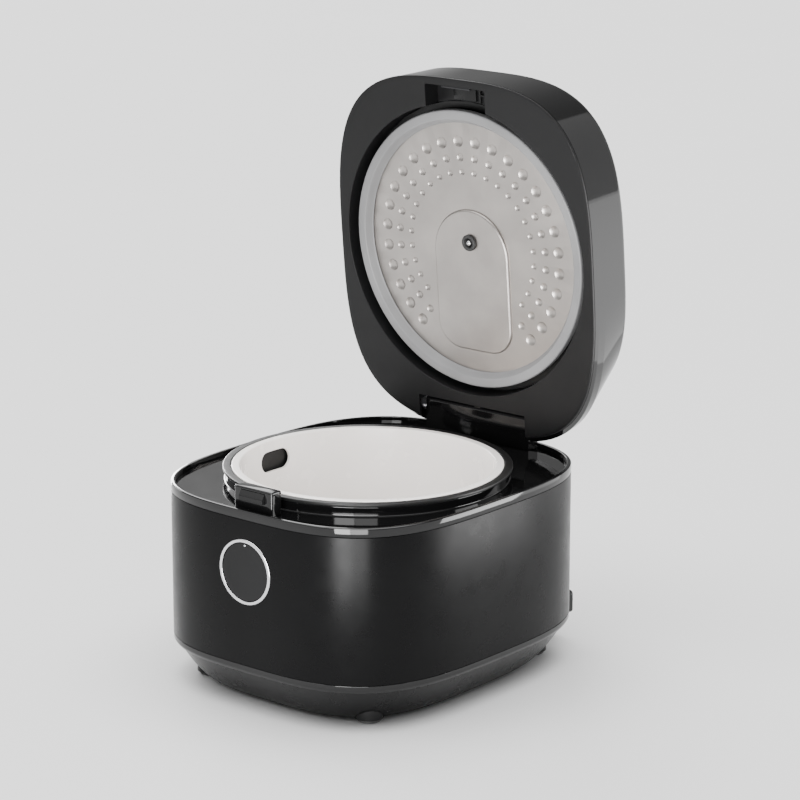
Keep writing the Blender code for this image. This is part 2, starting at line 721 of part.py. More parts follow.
def make_heater():
    edge = 0.0015
    hole = SENSOR_RADIUS + 0.0015
    profile = (
        (PLATE_RADIUS - edge, PLATE_TOP), (PLATE_RADIUS, PLATE_TOP - edge),
        (PLATE_RADIUS, PLATE_LOW), (hole, PLATE_LOW), (hole, PLATE_TOP),
    )
    turned("heating_plate", profile, (0.0, POT_Y, 0.0), ALUMINIUM, loop=True)
    ring_z = PLATE_LOW - GAP - HEATER_TUBE_RADIUS
    profile = [
        (
            HEATER_RING_RADIUS + HEATER_TUBE_RADIUS * math.cos(t),
            ring_z - HEATER_TUBE_RADIUS * math.sin(t),
        )
        for t in (math.pi * i / 3 for i in range(6))
    ]
    turned("heating_tube", profile, (0.0, POT_Y, 0.0), SPRING_STEEL, loop=True)
    make_plate_support()


def make_plate_support():
    floor = BASE_BOTTOM + BASE_WALL + GAP
    top = PLATE_LOW - GAP
    width = 0.006
    profile = (
        (LEG_CIRCLE_RADIUS + width, top), (LEG_CIRCLE_RADIUS + width, top - 0.002),
        (LEG_CIRCLE_RADIUS - width, top - 0.002), (LEG_CIRCLE_RADIUS - width, top),
    )
    place = (0.0, POT_Y, 0.0)
    support = turned("plate_support", profile, place, SPRING_STEEL, steps=SMALL_STEPS, loop=True)
    for i, degrees in enumerate((90, 210, 330)):
        angle = math.radians(degrees)
        x = LEG_CIRCLE_RADIUS * math.cos(angle)
        y = POT_Y + LEG_CIRCLE_RADIUS * math.sin(angle)
        leg = cylinder(f"leg_{i}", (x, y, floor), LEG_RADIUS, top - 0.0008 - floor, steps=12)
        join(support, leg)


def make_sensor():
    """The thermostat under the pot: a sprung cup in a U-shaped bracket below the plate."""
    top = PLATE_TOP - GAP
    skirt = SENSOR_HEIGHT * 0.6
    wall = 0.0015
    profile = (
        (0.0, 0.0), (SENSOR_RADIUS - 0.001, 0.0), (SENSOR_RADIUS, -0.001), (SENSOR_RADIUS, -skirt),
        (SENSOR_RADIUS - wall, -skirt), (SENSOR_RADIUS - wall, -2 * wall), (0.004, -2 * wall),
        (0.004, -SENSOR_HEIGHT), (0.0, -SENSOR_HEIGHT),
    )
    turned("sensor_cup", profile, (0.0, POT_Y, top), ALUMINIUM, steps=SMALL_STEPS)
    strap_top = top - SENSOR_HEIGHT - SENSOR_TRAVEL - 0.001
    strap_low = strap_top - 0.0015
    reach = SENSOR_RADIUS + 0.022
    half = 0.008
    bracket = box(
        "sensor_bracket", (-reach, POT_Y - half, strap_low),
        (reach, POT_Y + half, PLATE_LOW - GAP), SPRING_STEEL,
    )
    cut(bracket, box(
        "bracket_inside", (-reach + 0.0015, POT_Y - 2 * half, strap_top),
        (reach - 0.0015, POT_Y + 2 * half, PLATE_TOP),
    ))
    spring(
        "sensor_spring", (0.0, POT_Y, strap_top + GAP), 0.0095, 0.0006,
        top - 2 * wall - strap_top - 2 * GAP, 4, SPRING_STEEL,
    )


# ---- Front button, lever and latch ----


def make_button():
    front = -HALF_DEPTH
    place = (0.0, front, BUTTON_Z)
    inner = RING_RADIUS - RING_WIDTH
    ring_back = -0.004
    profile = (
        (inner + 0.0006, RING_PROUD), (RING_RADIUS - 0.0006, RING_PROUD),
        (RING_RADIUS, RING_PROUD - 0.0005), (RING_RADIUS, ring_back), (inner, ring_back),
        (inner, RING_PROUD - 0.0005),
    )
    facing_front(turned("button_ring", profile, place, CHROME, loop=True))
    face = inner - GAP
    back = -BUTTON_THICKNESS
    stem = front - (LEVER_Y - LEVER_THICKNESS / 2) + GAP
    profile = (
        (0.0, 0.0), (face - 0.0004, 0.0), (face, -0.0004), (face, back),
        (BUTTON_STEM_RADIUS, back), (BUTTON_STEM_RADIUS, stem), (0.0, stem),
    )
    button = facing_front(turned("front_button", profile, place, SATIN_BLACK))
    lens = (0.0, front + 0.0008, BUTTON_Z + face - 0.0022)
    cylinder("indicator_lens", lens, 0.0008, 0.0009, INDICATOR, axis="-Y", steps=12)
    hole_start = (0.0, front + 0.0011, lens[2])
    cut(button, cylinder("lens_hole", hole_start, 0.0011, 0.003, axis="-Y", steps=12))
    make_button_guide(place, back)


def make_button_guide(place, back):
    """A cup behind the ring that carries the stem and backs the return spring."""
    floor = back - BUTTON_TRAVEL - 0.0012
    outer = RING_RADIUS + 0.0022
    hole = BUTTON_STEM_RADIUS + GAP
    start = -SHELL_WALL - GAP
    profile = (
        (outer, start - 0.0006), (outer, floor - 0.0018), (hole, floor - 0.0018), (hole, floor),
        (RING_RADIUS + GAP, floor), (RING_RADIUS + GAP, start - 0.0006),
    )
    facing_front(turned("button_guide", profile, place, DARK_PLASTIC, loop=True))
    length = back - floor - 2 * GAP
    spot = (place[0], place[1] - floor - GAP, place[2])
    spring("button_spring", spot, 0.0075, 0.0003, length, 2, SPRING_STEEL, axis="-Y")


def make_lever():
    half = LEVER_THICKNESS / 2
    foot = LEVER_PIVOT_Z - 0.0045
    place = Vector((0.0, LEVER_Y, LEVER_PIVOT_Z))
    form = bmesh.new()
    bmesh.ops.create_cube(form, size=1.0)
    bmesh.ops.scale(form, vec=(LEVER_WIDTH, LEVER_THICKNESS, LEVER_TOP - foot), verts=form.verts)
    rise = (LEVER_TOP + foot) / 2 - LEVER_PIVOT_Z
    bmesh.ops.translate(form, vec=(0.0, 0.0, rise), verts=form.verts)
    lever = add_object("release_lever", mesh_from("release_lever", form), SPRING_STEEL, BODY, place)
    eye = cylinder(
        "lever_eye", place - Vector((LEVER_WIDTH / 2, 0, 0)), LEVER_PIN_RADIUS + 0.0018,
        LEVER_WIDTH, axis="X", steps=16,
    )
    bore = cylinder(
        "lever_bore", place - Vector((0.02, 0, 0)), LEVER_PIN_RADIUS + GAP, 0.04,
        axis="X", steps=16,
    )
    join(lever, eye)
    cut(lever, bore)
    pin_half = LEVER_WIDTH / 2 + 0.0045
    cylinder(
        "lever_pin", place - Vector((pin_half, 0, 0)), LEVER_PIN_RADIUS, 2 * pin_half,
        SPRING_STEEL, axis="X", steps=16,
    )
    make_lever_bracket(place, half)


def make_lever_bracket(place, half):
    wall_y = -HALF_DEPTH + SHELL_WALL + 0.0006
    ear_in = LEVER_WIDTH / 2 + 0.001
    ear_out = ear_in + 0.002
    low, high = place.z - 0.008, place.z + 0.008
    bracket = box(
        "lever_bracket", (-ear_out, wall_y, low), (ear_out, place.y + 0.0045, high), DARK_PLASTIC
    )
    inside = box(
        "bracket_slot", (-ear_in, wall_y + 0.002, low - 0.01),
        (ear_in, place.y + half + 0.02, high + 0.01),
    )
    bore = cylinder(
        "bracket_bore", place - Vector((0.02, 0, 0)), LEVER_PIN_RADIUS + GAP, 0.04,
        axis="X", steps=16,
    )
    cut(bracket, inside, bore)


def make_latch():
    half = LATCH_WIDTH / 2
    low = DECK_TOP + GAP
    housing = box(
        "latch_housing", (-half, LATCH_FRONT, low), (half, LATCH_REAR, LATCH_TOP), GLOSS_BLACK,
        bevel=0.0009, edges=lambda e: max(v.co.z for v in e.verts) > 0,
    )
    inside = box(
        "latch_inside", (-half + LATCH_WALL, LATCH_FRONT + LATCH_WALL, low - 0.005),
        (half - LATCH_WALL, LATCH_REAR - LATCH_WALL, LATCH_TOP - LATCH_WALL),
    )
    reach = TONGUE_WIDTH / 2 + 0.0004
    window = box(
        "latch_window", (-reach, LATCH_FRONT - 0.002, TONGUE_Z - 0.0004),
        (reach, LATCH_FRONT + LATCH_WALL + 0.001, TONGUE_Z + TONGUE_HEIGHT + 0.0004),
    )
    cut(housing, inside, window)
    tip = LATCH_FRONT - TONGUE_PROUD
    top = TONGUE_Z + TONGUE_HEIGHT
    profile = (
        (BOLT_REAR, TONGUE_Z), (BOLT_REAR, top), (LATCH_FRONT - 0.0002, top),
        (tip, TONGUE_Z + TONGUE_HEIGHT * 0.45), (tip, TONGUE_Z),
    )
    bolt = prism("latch_bolt", profile, -TONGUE_WIDTH / 2, TONGUE_WIDTH / 2, DARK_PLASTIC)
    slack = 0.0004
    cut(bolt, box(
        "bolt_slot",
        (-LEVER_WIDTH / 2 - slack, LEVER_Y - LEVER_THICKNESS / 2 - slack, TONGUE_Z - 0.001),
        (LEVER_WIDTH / 2 + slack, LEVER_Y + LEVER_THICKNESS / 2 + slack, LEVER_TOP + 0.0006),
    ))


# ---- Electrics ----


def make_boards():
    thick = 0.0016
    y = LATCH_REAR - 0.0006
    low, high = BUTTON_Z - 0.036, BUTTON_Z + 0.026
    control = box("control_board", (-0.048, y, low), (0.048, y + thick, high), BOARD_GREEN)
    back = y + thick
    chip = box("control_chip", (-0.012, back - 0.0004, low + 0.02), (0.004, back + 0.002, low + 0.036))
    plug = box("control_plug", (0.014, back - 0.0004, low + 0.006), (0.032, back + 0.005, low + 0.014))
    join(control, chip, plug)
    floor = BASE_BOTTOM + BASE_WALL + 0.009
    front = POT_Y + LEG_CIRCLE_RADIUS + LEG_RADIUS + 0.008
    back = HALF_DEPTH - BASE_TUCK - BASE_WALL - 0.012
    half = FOOT_PLACES["rear_right"][0] - FOOT_RADIUS - BOSS_WALL - 0.006
    box("power_board", (-half, front, floor), (half - 0.020, back, floor + thick), BOARD_GREEN)
    above = floor + thick + GAP
    depth = back - front
    room = LINER_LOW - above
    box(
        "transformer", (-half + 0.004, front + 0.004, above),
        (-half + 0.034, back - 0.004, above + room * 0.86), SPRING_STEEL,
    )
    box(
        "relay", (-half + 0.040, front + 0.004, above),
        (-half + 0.056, front + 0.004 + depth * 0.6, above + room * 0.58), DARK_PLASTIC,
    )
    place = (-half + 0.070, front + depth * 0.45, above)
    cylinder("capacitor", place, 0.0075, room * 0.7, SPRING_STEEL)


def make_inlet(*walls):
    x_low, x_high = INLET_X
    z_low, z_high = INLET_Z
    front = INLET_REAR - INLET_LENGTH
    inlet = box(
        "rear_inlet", (x_low, front, z_low), (x_high, INLET_REAR, z_high), DARK_PLASTIC,
        bevel=0.003, edges=along(1),
    )
    socket_floor = INLET_REAR - SOCKET_DEPTH
    inset = SOCKET_WALL
    cut(inlet, box(
        "socket", (x_low + inset, socket_floor, z_low + inset),
        (x_high - inset, INLET_REAR + 0.01, z_high - inset), bevel=0.0025, edges=along(1),
    ))
    opening = box(
        "inlet_opening", (x_low - GAP, front - 0.01, z_low - GAP),
        (x_high + GAP, INLET_REAR + 0.01, z_high + GAP), bevel=0.003, edges=along(1),
    )
    for wall in walls:
        cut(wall, opening)
    middle = Vector(((x_low + x_high) / 2, 0.0, (z_low + z_high) / 2))
    for name, step in (("live", -1), ("earth", 0), ("neutral", 1)):
        x = middle.x + step * BLADE_GAP
        y = socket_floor + GAP
        box(
            f"inlet_blade_{name}", (x - BLADE_SIZE.x / 2, y, middle.z - BLADE_SIZE.z / 2),
            (x + BLADE_SIZE.x / 2, y + BLADE_SIZE.y, middle.z + BLADE_SIZE.z / 2), BRASS,
        )


# ---- Hinge ----


def make_hinge():
    half, wall = TOWER_HALF_WIDTH, TOWER_WALL
    front, rear = HINGE_Y - TOWER_FRONT, HINGE_Y + TOWER_REAR
    low, high = DECK_TOP + GAP, HINGE_Z + TOWER_TOP
    tower = box(
        "hinge_housing", (-half, front, low), (half, rear, high), GLOSS_BLACK,
        bevel=0.0035, edges=lambda e: along(0)(e) and e.verts[0].co.z > 0,
    )
    inside = box(
        "tower_inside", (-half + wall, front + wall, low - 0.01),
        (half - wall, rear - wall, high - wall),
    )
    rib = box(
        "tower_rib", (-0.003, front + wall / 2, low + 0.001),
        (0.003, rear - wall / 2, high - wall / 2),
    )
    pin_half = NOTCH_HALF_WIDTH + 0.0065
    bore = cylinder(
        "tower_bore", HINGE_PLACE - Vector((half + 0.02, 0, 0)), HINGE_PIN_RADIUS + GAP,
        2 * half + 0.04, axis="X",
    )
    cut(tower, inside)
    join(tower, rib)
    cut(tower, bore)
    cylinder(
        "hinge_pin", HINGE_PLACE - Vector((pin_half, 0, 0)), HINGE_PIN_RADIUS, 2 * pin_half,
        SPRING_STEEL, axis="X",
    )
    length = half - wall - 0.008
    coil = HINGE_PIN_RADIUS + GAP + 0.00055
    for side, start in (("left", -half + wall + 0.002), ("right", 0.006)):
        spring(
            f"hinge_spring_{side}", (start, HINGE_Y, HINGE_Z), coil, 0.0005, length, 5,
            SPRING_STEEL, axis="X",
        )


def make_arms():
    """Two steel plates inside the lid that turn on the ends of the hinge pin."""
    eye = HINGE_PIN_RADIUS + 0.001
    front = LID_CENTRE_Y + WELL_RADIUS - 0.006
    low = LID_LOW + FRAME_PLATE + 0.0008
    profile = (
        (front, low), (HINGE_Y - 0.006, low), (HINGE_Y + eye * 0.85, HINGE_Z - eye * 0.5),
        (HINGE_Y + eye, HINGE_Z), (HINGE_Y + eye * 0.7, HINGE_Z + eye * 0.7),
        (HINGE_Y, HINGE_Z + eye), (front + 0.012, FRAME_TOP - 0.001), (front, FRAME_TOP - 0.001),
    )
    inner = NOTCH_HALF_WIDTH + 0.002 + GAP
    bore = cylinder(
        "arm_bore", HINGE_PLACE - Vector((0.08, 0, 0)), HINGE_PIN_RADIUS + GAP, 0.16,
        frame=LID, axis="X",
    )
    for side, low_x in (("left", -inner - 0.002), ("right", inner)):
        arm = prism(f"hinge_arm_{side}", profile, low_x, low_x + 0.002, SPRING_STEEL, LID)
        cut(arm, bore)


# ---- Lid ----


def rear_inset(z):
    """How far the rear of the closed lid draws in: a heel that clears the rim, then a slope."""
    heel_top = LID_LOW + LID_REAR_HEEL
    slope_low = heel_top + LID_REAR_WALL
    if z < heel_top:
        return heel_top - z
    if z < slope_low:
        return 0.0
    return LID_REAR_SLOPE * (z - slope_low)


def draft(z):
    """How far the lid's sides lean in at a height."""
    return LID_DRAFT * (z - LID_SHELL_LOW)


def lid_levels():
    """(inset, height) up the lid's outer side and round its top edge."""
    heel_top = LID_LOW + LID_REAR_HEEL
    levels = (LID_SHELL_LOW + GAP, heel_top, heel_top + LID_REAR_WALL, LID_SHOULDER)
    profile = [(draft(z), z) for z in levels]
    for degrees in (30, 60, 90):
        angle = math.radians(degrees)
        inset = draft(LID_SHOULDER) + LID_TOP_RADIUS * (1 - math.cos(angle))
        profile.append((inset, LID_SHOULDER + LID_TOP_RADIUS * math.sin(angle)))
    return profile


def notch_cutter(name, grow=0.0):
    return box(
        name, (-NOTCH_HALF_WIDTH - grow, NOTCH_FRONT - grow, LID_LOW - 0.01),
        (NOTCH_HALF_WIDTH + grow, HALF_DEPTH + 0.01, NOTCH_TOP + grow), frame=LID,
    )


def make_lid_shell():
    outer = lid_levels()
    inner = [(inset + LID_WALL, min(z, LID_TOP - LID_WALL)) for inset, z in outer[:-2]]
    inner.append((outer[-1][0] + 0.002, LID_TOP - LID_WALL))
    rings = [outline(i, z, rear_inset(z)) for i, z in reversed(outer)]
    rings += [outline(i, z, rear_inset(z)) for i, z in inner]
    shell = loft("lid_outer_shell", rings, GLOSS_BLACK, LID)
    hole = cylinder(
        "vent_hole", (0.0, VENT_Y, LID_TOP - 0.01), VENT_CAP_RADIUS + 0.0004, 0.02,
        frame=LID, steps=ROUND_STEPS,
    )
    cut(shell, notch_cutter("shell_notch"), hole)


def make_lid_frame():
    """The lid's underside: a flat frame round the inner lid's well, hollow above."""
    heel_top = LID_LOW + LID_REAR_HEEL
    levels = (LID_SHELL_LOW, heel_top, heel_top + LID_REAR_WALL, FRAME_TOP)
    profile = [(0.0006, LID_LOW), (0.0, LID_LOW + 0.0006), (0.0, LID_SHELL_LOW)]
    profile += [(draft(z) + LID_WALL + 2 * GAP, z) for z in levels]
    frame = loft("lid_frame", [outline(i, z, rear_inset(z)) for i, z in profile], MATTE_GREY, LID)
    trough = box(
        "notch_trough", (-NOTCH_HALF_WIDTH - 0.002, NOTCH_FRONT - 0.0025, LID_LOW + 0.0035),
        (NOTCH_HALF_WIDTH + 0.002, HINGE_Y - 0.0095, NOTCH_TOP + 0.002), frame=LID,
    )
    place = (0.0, LID_CENTRE_Y, LID_LOW - 0.01)
    well = cylinder("lid_well", place, WELL_RADIUS, 0.05, frame=LID, steps=ROUND_STEPS)
    recess = box(
        "latch_recess", (-RECESS_HALF_WIDTH, RECESS_Y, LID_LOW - 0.01),
        (RECESS_HALF_WIDTH, LID_CENTRE_Y - WELL_RADIUS * 0.9, LID_LOW + RECESS_HEIGHT), frame=LID,
    )
    bore = cylinder(
        "frame_bore", HINGE_PLACE - Vector((0.08, 0, 0)), HINGE_PIN_RADIUS + GAP, 0.16,
        frame=LID, axis="X",
    )
    cut(frame, make_frame_pocket())
    join(frame, trough)
    cut(frame, well, recess, notch_cutter("frame_notch"), bore)


def make_frame_pocket():
    """The hollow above the frame's plate, with walls left round the well, recess and notch."""
    low = LID_SHELL_LOW + 0.0004
    heel_top = LID_LOW + LID_REAR_HEEL
    levels = (low, heel_top, heel_top + LID_REAR_WALL, FRAME_TOP + 0.004)
    rings = [outline(draft(z) + LID_WALL + FRAME_WALL, z, rear_inset(z)) for z in levels]
    pocket = loft("frame_pocket", rings, frame=LID)
    core = cylinder(
        "pocket_core", (0.0, LID_CENTRE_Y, LID_LOW - 0.02), WELL_RADIUS + 0.0035, 0.08,
        frame=LID, steps=ROUND_STEPS,
    )
    recess = box(
        "pocket_recess", (-RECESS_HALF_WIDTH - 0.002, -HALF_DEPTH - 0.01, LID_LOW - 0.02),
        (RECESS_HALF_WIDTH + 0.002, LID_CENTRE_Y - WELL_RADIUS * 0.8, FRAME_TOP + 0.02), frame=LID,
    )
    return cut(pocket, core, recess, notch_cutter("pocket_notch", 0.002))


def make_catch():
    """The striker in the lid's recess: a plate with a window that the bolt's tongue enters."""
    half = TONGUE_WIDTH / 2 + 0.0022
    front = RECESS_Y + GAP
    low = LID_LOW + 0.0011
    top = LID_LOW + RECESS_HEIGHT - GAP
    catch = box("latch_catch", (-half, front, low), (half, front + 0.0016, top), SPRING_STEEL, LID)
    reach = TONGUE_WIDTH / 2 + 0.0006
    cut(catch, box(
        "catch_window", (-reach, front - 0.002, TONGUE_Z - 0.0006),
        (reach, front + 0.004, TONGUE_Z + TONGUE_HEIGHT + 0.0006), frame=LID,
    ))


def make_inner_lid():
    place = Vector((0.0, LID_CENTRE_Y, 0.0))
    z, wall = INNER_LID_Z, INNER_LID_WALL
    plate = turned("inner_lid_plate", (
        (0.0, z + wall), (INNER_LID_RADIUS - 0.001, z + wall), (INNER_LID_RADIUS, z + wall / 2),
        (INNER_LID_RADIUS - 0.0005, z), (0.0, z),
    ), place, STEEL, LID)
    low = z - STADIUM_DEPTH
    join(plate, make_stadium("stadium", 0.0, low, z + wall / 2))
    cut(plate, make_stadium("stadium_hollow", wall, low + wall, z + 0.01))
    valve_y = LID_CENTRE_Y - VALVE_SHIFT
    neck = VALVE_RADIUS * 0.6
    cut(plate, cylinder("valve_hole", (0.0, valve_y, z - 0.01), neck + GAP, 0.02, frame=LID))
    front = z - STADIUM_DEPTH
    turned("steam_valve", (
        (neck, z + 0.003), (neck, front - GAP), (VALVE_RADIUS, front - GAP),
        (VALVE_RADIUS, z - VALVE_PROUD + 0.001), (VALVE_RADIUS - 0.001, z - VALVE_PROUD),
        (0.0042, z - VALVE_PROUD), (0.0038, z - VALVE_PROUD + 0.001), (0.0024, z + 0.0006),
        (0.0024, z + 0.003),
    ), (0.0, valve_y, 0.0), RUBBER, LID, steps=SMALL_STEPS, loop=True)
    make_ball((0.0, valve_y, z - VALVE_PROUD + 0.0022), 0.0026)
    front = GASKET_Z
    back = z - GAP
    inner = GASKET_RADIUS - GASKET_WIDTH
    turned("inner_lid_gasket", (
        (GASKET_RADIUS - 0.0008, back), (GASKET_RADIUS, back - 0.001), (GASKET_RADIUS, front + 0.0012),
        (GASKET_RADIUS - 0.0012, front), (inner + 0.005, front), (inner + 0.0038, front + 0.0012),
        (inner + 0.001, back - 0.001), (inner, back),
    ), place, SILICONE, LID, loop=True)


def make_ball(place, radius):
    form = bmesh.new()
    bmesh.ops.create_uvsphere(form, u_segments=16, v_segments=8, radius=radius)
    add_object("valve_ball", mesh_from("valve_ball", form), STEEL, LID, place)


def make_stadium(name, inset, low, high):
    """The raised panel on the inner lid: round towards the front, straight towards the hinge."""
    form = bmesh.new()
    middle = LID_CENTRE_Y + VALVE_SHIFT
    end = LID_CENTRE_Y + STADIUM_REACH - inset
    radius = STADIUM_RADIUS - inset
    corner = radius * 0.6
    points = []
    for i in range(17):
        angle = math.pi + math.pi * i / 16
        points.append((radius * math.cos(angle), middle + radius * math.sin(angle)))
    for side, first in ((1, 0.0), (-1, math.pi / 2)):
        for i in range(5):
            angle = first + math.pi / 2 * i / 4
            across = side * (radius - corner) + corner * math.cos(angle)
            points.append((across, end - corner + corner * math.sin(angle)))
    face = form.faces.new([form.verts.new((x, y, high)) for x, y in points])
    pushed = bmesh.ops.extrude_face_region(form, geom=[face])["geom"]
    moved = [v for v in pushed if isinstance(v, bmesh.types.BMVert)]
    bmesh.ops.translate(form, vec=(0.0, 0.0, low - high), verts=moved)
    return add_object(name, mesh_from(name, form), None, LID)


def make_lid_inside():
    """The tray behind the inner lid, and the duct that takes steam to the vent."""
    low = FRAME_TOP - 0.003
    place = (0.0, LID_CENTRE_Y, 0.0)
    edge = WELL_RADIUS - GAP
    tray = turned("lid_heat_shield", (
        (0.0, low + 0.0015), (edge, low + 0.0015), (edge, low), (0.0, low),
    ), place, POT_BLACK, LID)
    inner = DUCT_RADIUS - DUCT_WALL
    cut(tray, cylinder("tray_hole", (0.0, VENT_Y, low - 0.01), inner, 0.03, frame=LID))
    seat_top = LID_TOP - 0.0038
    middle = (low + seat_top) / 2
    foot = low + 0.0015 + GAP
    turned("steam_duct", (
        (DUCT_RADIUS, middle), (DUCT_RADIUS, foot), (inner, foot), (inner, middle),
    ), (0.0, VENT_Y, 0.0), SILICONE, LID, steps=SMALL_STEPS, loop=True)
    flange = VENT_CAP_RADIUS + 0.003
    turned("vent_seat", (
        (flange, seat_top), (flange, seat_top - 0.002), (DUCT_RADIUS, seat_top - 0.002),
        (DUCT_RADIUS, middle + GAP), (inner, middle + GAP), (inner, seat_top),
    ), (0.0, VENT_Y, 0.0), DARK_PLASTIC, LID, steps=SMALL_STEPS, loop=True)
    skirt = inner - GAP
    cap = turned("vent_cap", (
        (0.0, LID_TOP - 0.0001), (VENT_CAP_RADIUS - 0.001, LID_TOP - 0.0001),
        (VENT_CAP_RADIUS, LID_TOP - 0.0011), (VENT_CAP_RADIUS, seat_top + GAP),
        (skirt, seat_top + GAP),
        (skirt, seat_top - 0.006), (skirt - 0.0016, seat_top - 0.006),
        (skirt - 0.0016, seat_top + 0.001), (0.0, seat_top + 0.001),
    ), (0.0, VENT_Y, 0.0), GLOSS_BLACK, LID, steps=SMALL_STEPS)
    for side in (-1, 1):
        y = VENT_Y + side * 0.0045
        cut(cap, box(
            f"vent_slot_{(side + 1) // 2}", (-0.007, y - 0.0012, seat_top - 0.003),
            (0.007, y + 0.0012, LID_TOP + 0.003), frame=LID,
        ))


def make_all():
    pan, band = make_base()
    make_feet()
    shell = make_shell()
    make_rim()
    make_deck()
    make_pot()
    make_basket()
    make_liner()
    make_heater()
    make_sensor()
    make_button()
    make_lever()
    make_latch()
    make_boards()
    make_inlet(pan, band, shell)
    make_hinge()
    make_arms()
    make_lid_shell()
    make_lid_frame()
    make_catch()
    make_inner_lid()
    make_lid_inside()


make_all()
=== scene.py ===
"""Looks of the rice cooker: fine shells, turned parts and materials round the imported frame.

Metres, +Z up, front towards -Y. Every place and size comes from the frame's own boxes. Pieces of
the lid are drawn as if it were closed, and LID_SEAT swings them to the open rest pose.
"""

import json
import math

import bmesh
import bpy
from mathutils import Matrix, Vector

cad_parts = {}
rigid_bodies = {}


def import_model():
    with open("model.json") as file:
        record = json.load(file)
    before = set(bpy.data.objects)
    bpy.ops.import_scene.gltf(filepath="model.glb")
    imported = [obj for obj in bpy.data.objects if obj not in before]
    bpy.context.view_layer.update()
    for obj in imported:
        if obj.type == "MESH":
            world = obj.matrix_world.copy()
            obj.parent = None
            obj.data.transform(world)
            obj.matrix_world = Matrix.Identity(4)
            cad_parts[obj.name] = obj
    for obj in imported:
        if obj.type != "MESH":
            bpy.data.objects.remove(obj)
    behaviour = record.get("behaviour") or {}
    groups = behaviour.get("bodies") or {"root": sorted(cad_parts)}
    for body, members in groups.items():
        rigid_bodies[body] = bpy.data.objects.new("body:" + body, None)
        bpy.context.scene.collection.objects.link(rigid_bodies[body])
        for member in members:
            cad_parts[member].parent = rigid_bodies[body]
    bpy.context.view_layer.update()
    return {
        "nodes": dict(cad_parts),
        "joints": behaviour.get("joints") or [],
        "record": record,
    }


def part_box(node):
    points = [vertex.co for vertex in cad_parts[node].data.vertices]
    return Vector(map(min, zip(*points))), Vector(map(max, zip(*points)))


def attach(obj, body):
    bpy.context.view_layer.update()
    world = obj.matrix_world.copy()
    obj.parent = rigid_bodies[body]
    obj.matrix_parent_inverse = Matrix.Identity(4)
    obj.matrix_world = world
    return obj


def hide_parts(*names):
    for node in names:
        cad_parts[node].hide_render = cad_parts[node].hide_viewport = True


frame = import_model()

# ---- Sizes read from the frame ----

JOINTS = {joint["name"]: joint for joint in frame["joints"]}
HINGE = Vector(JOINTS["lid_hinge"]["pos_m"])
SHELL_LOW, SHELL_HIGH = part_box("outer_shell")
MIDDLE_Y = (SHELL_LOW.y + SHELL_HIGH.y) / 2
HALF_WIDTH = SHELL_HIGH.x
HALF_DEPTH = (SHELL_HIGH.y - SHELL_LOW.y) / 2
BODY_SEAT = Matrix.Translation((0.0, MIDDLE_Y, 0.0))
LID_SWING = Matrix.Rotation(math.radians(JOINTS["lid_hinge"]["range_deg"][0]), 4, "X")
LID_SEAT = Matrix.Translation(HINGE) @ LID_SWING @ Matrix.Translation(-HINGE) @ BODY_SEAT


def seat_box(node, seat):
    """A node's lowest and highest corners in the frame that its piece is drawn in."""
    back = seat.inverted()
    points = [back @ v.co for v in frame["nodes"][node].data.vertices]
    low = Vector([min(p[i] for p in points) for i in range(3)])
    high = Vector([max(p[i] for p in points) for i in range(3)])
    return low, high


# ---- Finish of the surfaces: sizes of detail, in metres ----

OUTLINE_POWER = 3.26
OUTLINE_POINTS = 176
TURN_STEPS = 144
GAP = 0.0003
EDGE = 0.0006  # usual rounding of a moulded edge
BAND_EDGE = 0.0004
CREASE = 32  # degrees between faces past which an edge stays sharp

# ---- Shape tools ----


def fillet(points, radius=EDGE, steps=3, closed=True):
    """Rounds the corners of a flat outline. A third number on a point is that corner's radius."""
    made = []
    count = len(points)
    for i, point in enumerate(points):
        corner = Vector(point[:2])
        reach = point[2] if len(point) > 2 else radius
        ends = (i in (0, count - 1)) and not closed
        before = Vector(points[i - 1][:2]) - corner
        after = Vector(points[(i + 1) % count][:2]) - corner
        if ends or reach == 0.0 or abs(math.pi - before.angle(after)) < 0.05:
            made.append(tuple(corner))
            continue
        half = before.angle(after) / 2
        back = min(reach / math.tan(half), before.length * 0.45, after.length * 0.45)
        first, last = corner + before.normalized() * back, corner + after.normalized() * back
        for k in range(steps + 1):
            s = k / steps
            made.append(tuple(first * (1 - s) ** 2 + corner * 2 * s * (1 - s) + last * s * s))
    return made


def turned(profile, steps=TURN_STEPS, closed=True):
    """A mesh from (radius, height) points turned about Z."""
    form = bmesh.new()
    spots = [form.verts.new((r, 0.0, z)) for r, z in profile]
    edges = [form.edges.new(pair) for pair in zip(spots, spots[1:])]
    if closed:
        edges.append(form.edges.new((spots[-1], spots[0])))
    bmesh.ops.spin(
        form, geom=spots + edges, cent=(0, 0, 0), axis=(0, 0, 1), angle=2 * math.pi,
        steps=steps, use_merge=True,
    )
    bmesh.ops.remove_doubles(form, verts=form.verts, dist=1e-6)
    return form


def outline(inset, z, rear_inset=0.0):
    """The body's outline in plan, drawn in by inset, as points on a superellipse."""
    wide = HALF_WIDTH - inset
    deep = HALF_DEPTH - inset
    points = []
    for i in range(OUTLINE_POINTS):
        angle = 2 * math.pi * i / OUTLINE_POINTS
        across, along = math.cos(angle), math.sin(angle)
        reach = (abs(across / wide) ** OUTLINE_POWER + abs(along / deep) ** OUTLINE_POWER)
        reach **= -1 / OUTLINE_POWER
        y = reach * along
        if y > 0:
            y *= (deep - rear_inset) / deep
        points.append(Vector((reach * across, y, z)))
    return points


def circle(radius, z, middle=(0.0, 0.0)):
    """A ring with a point in the direction of each point of the outline."""
    points = []
    for spot in outline(0.0, z):
        way = Vector((spot.x - middle[0], spot.y - middle[1], 0.0)).normalized()
        points.append(Vector((middle[0] + radius * way.x, middle[1] + radius * way.y, z)))
    return points


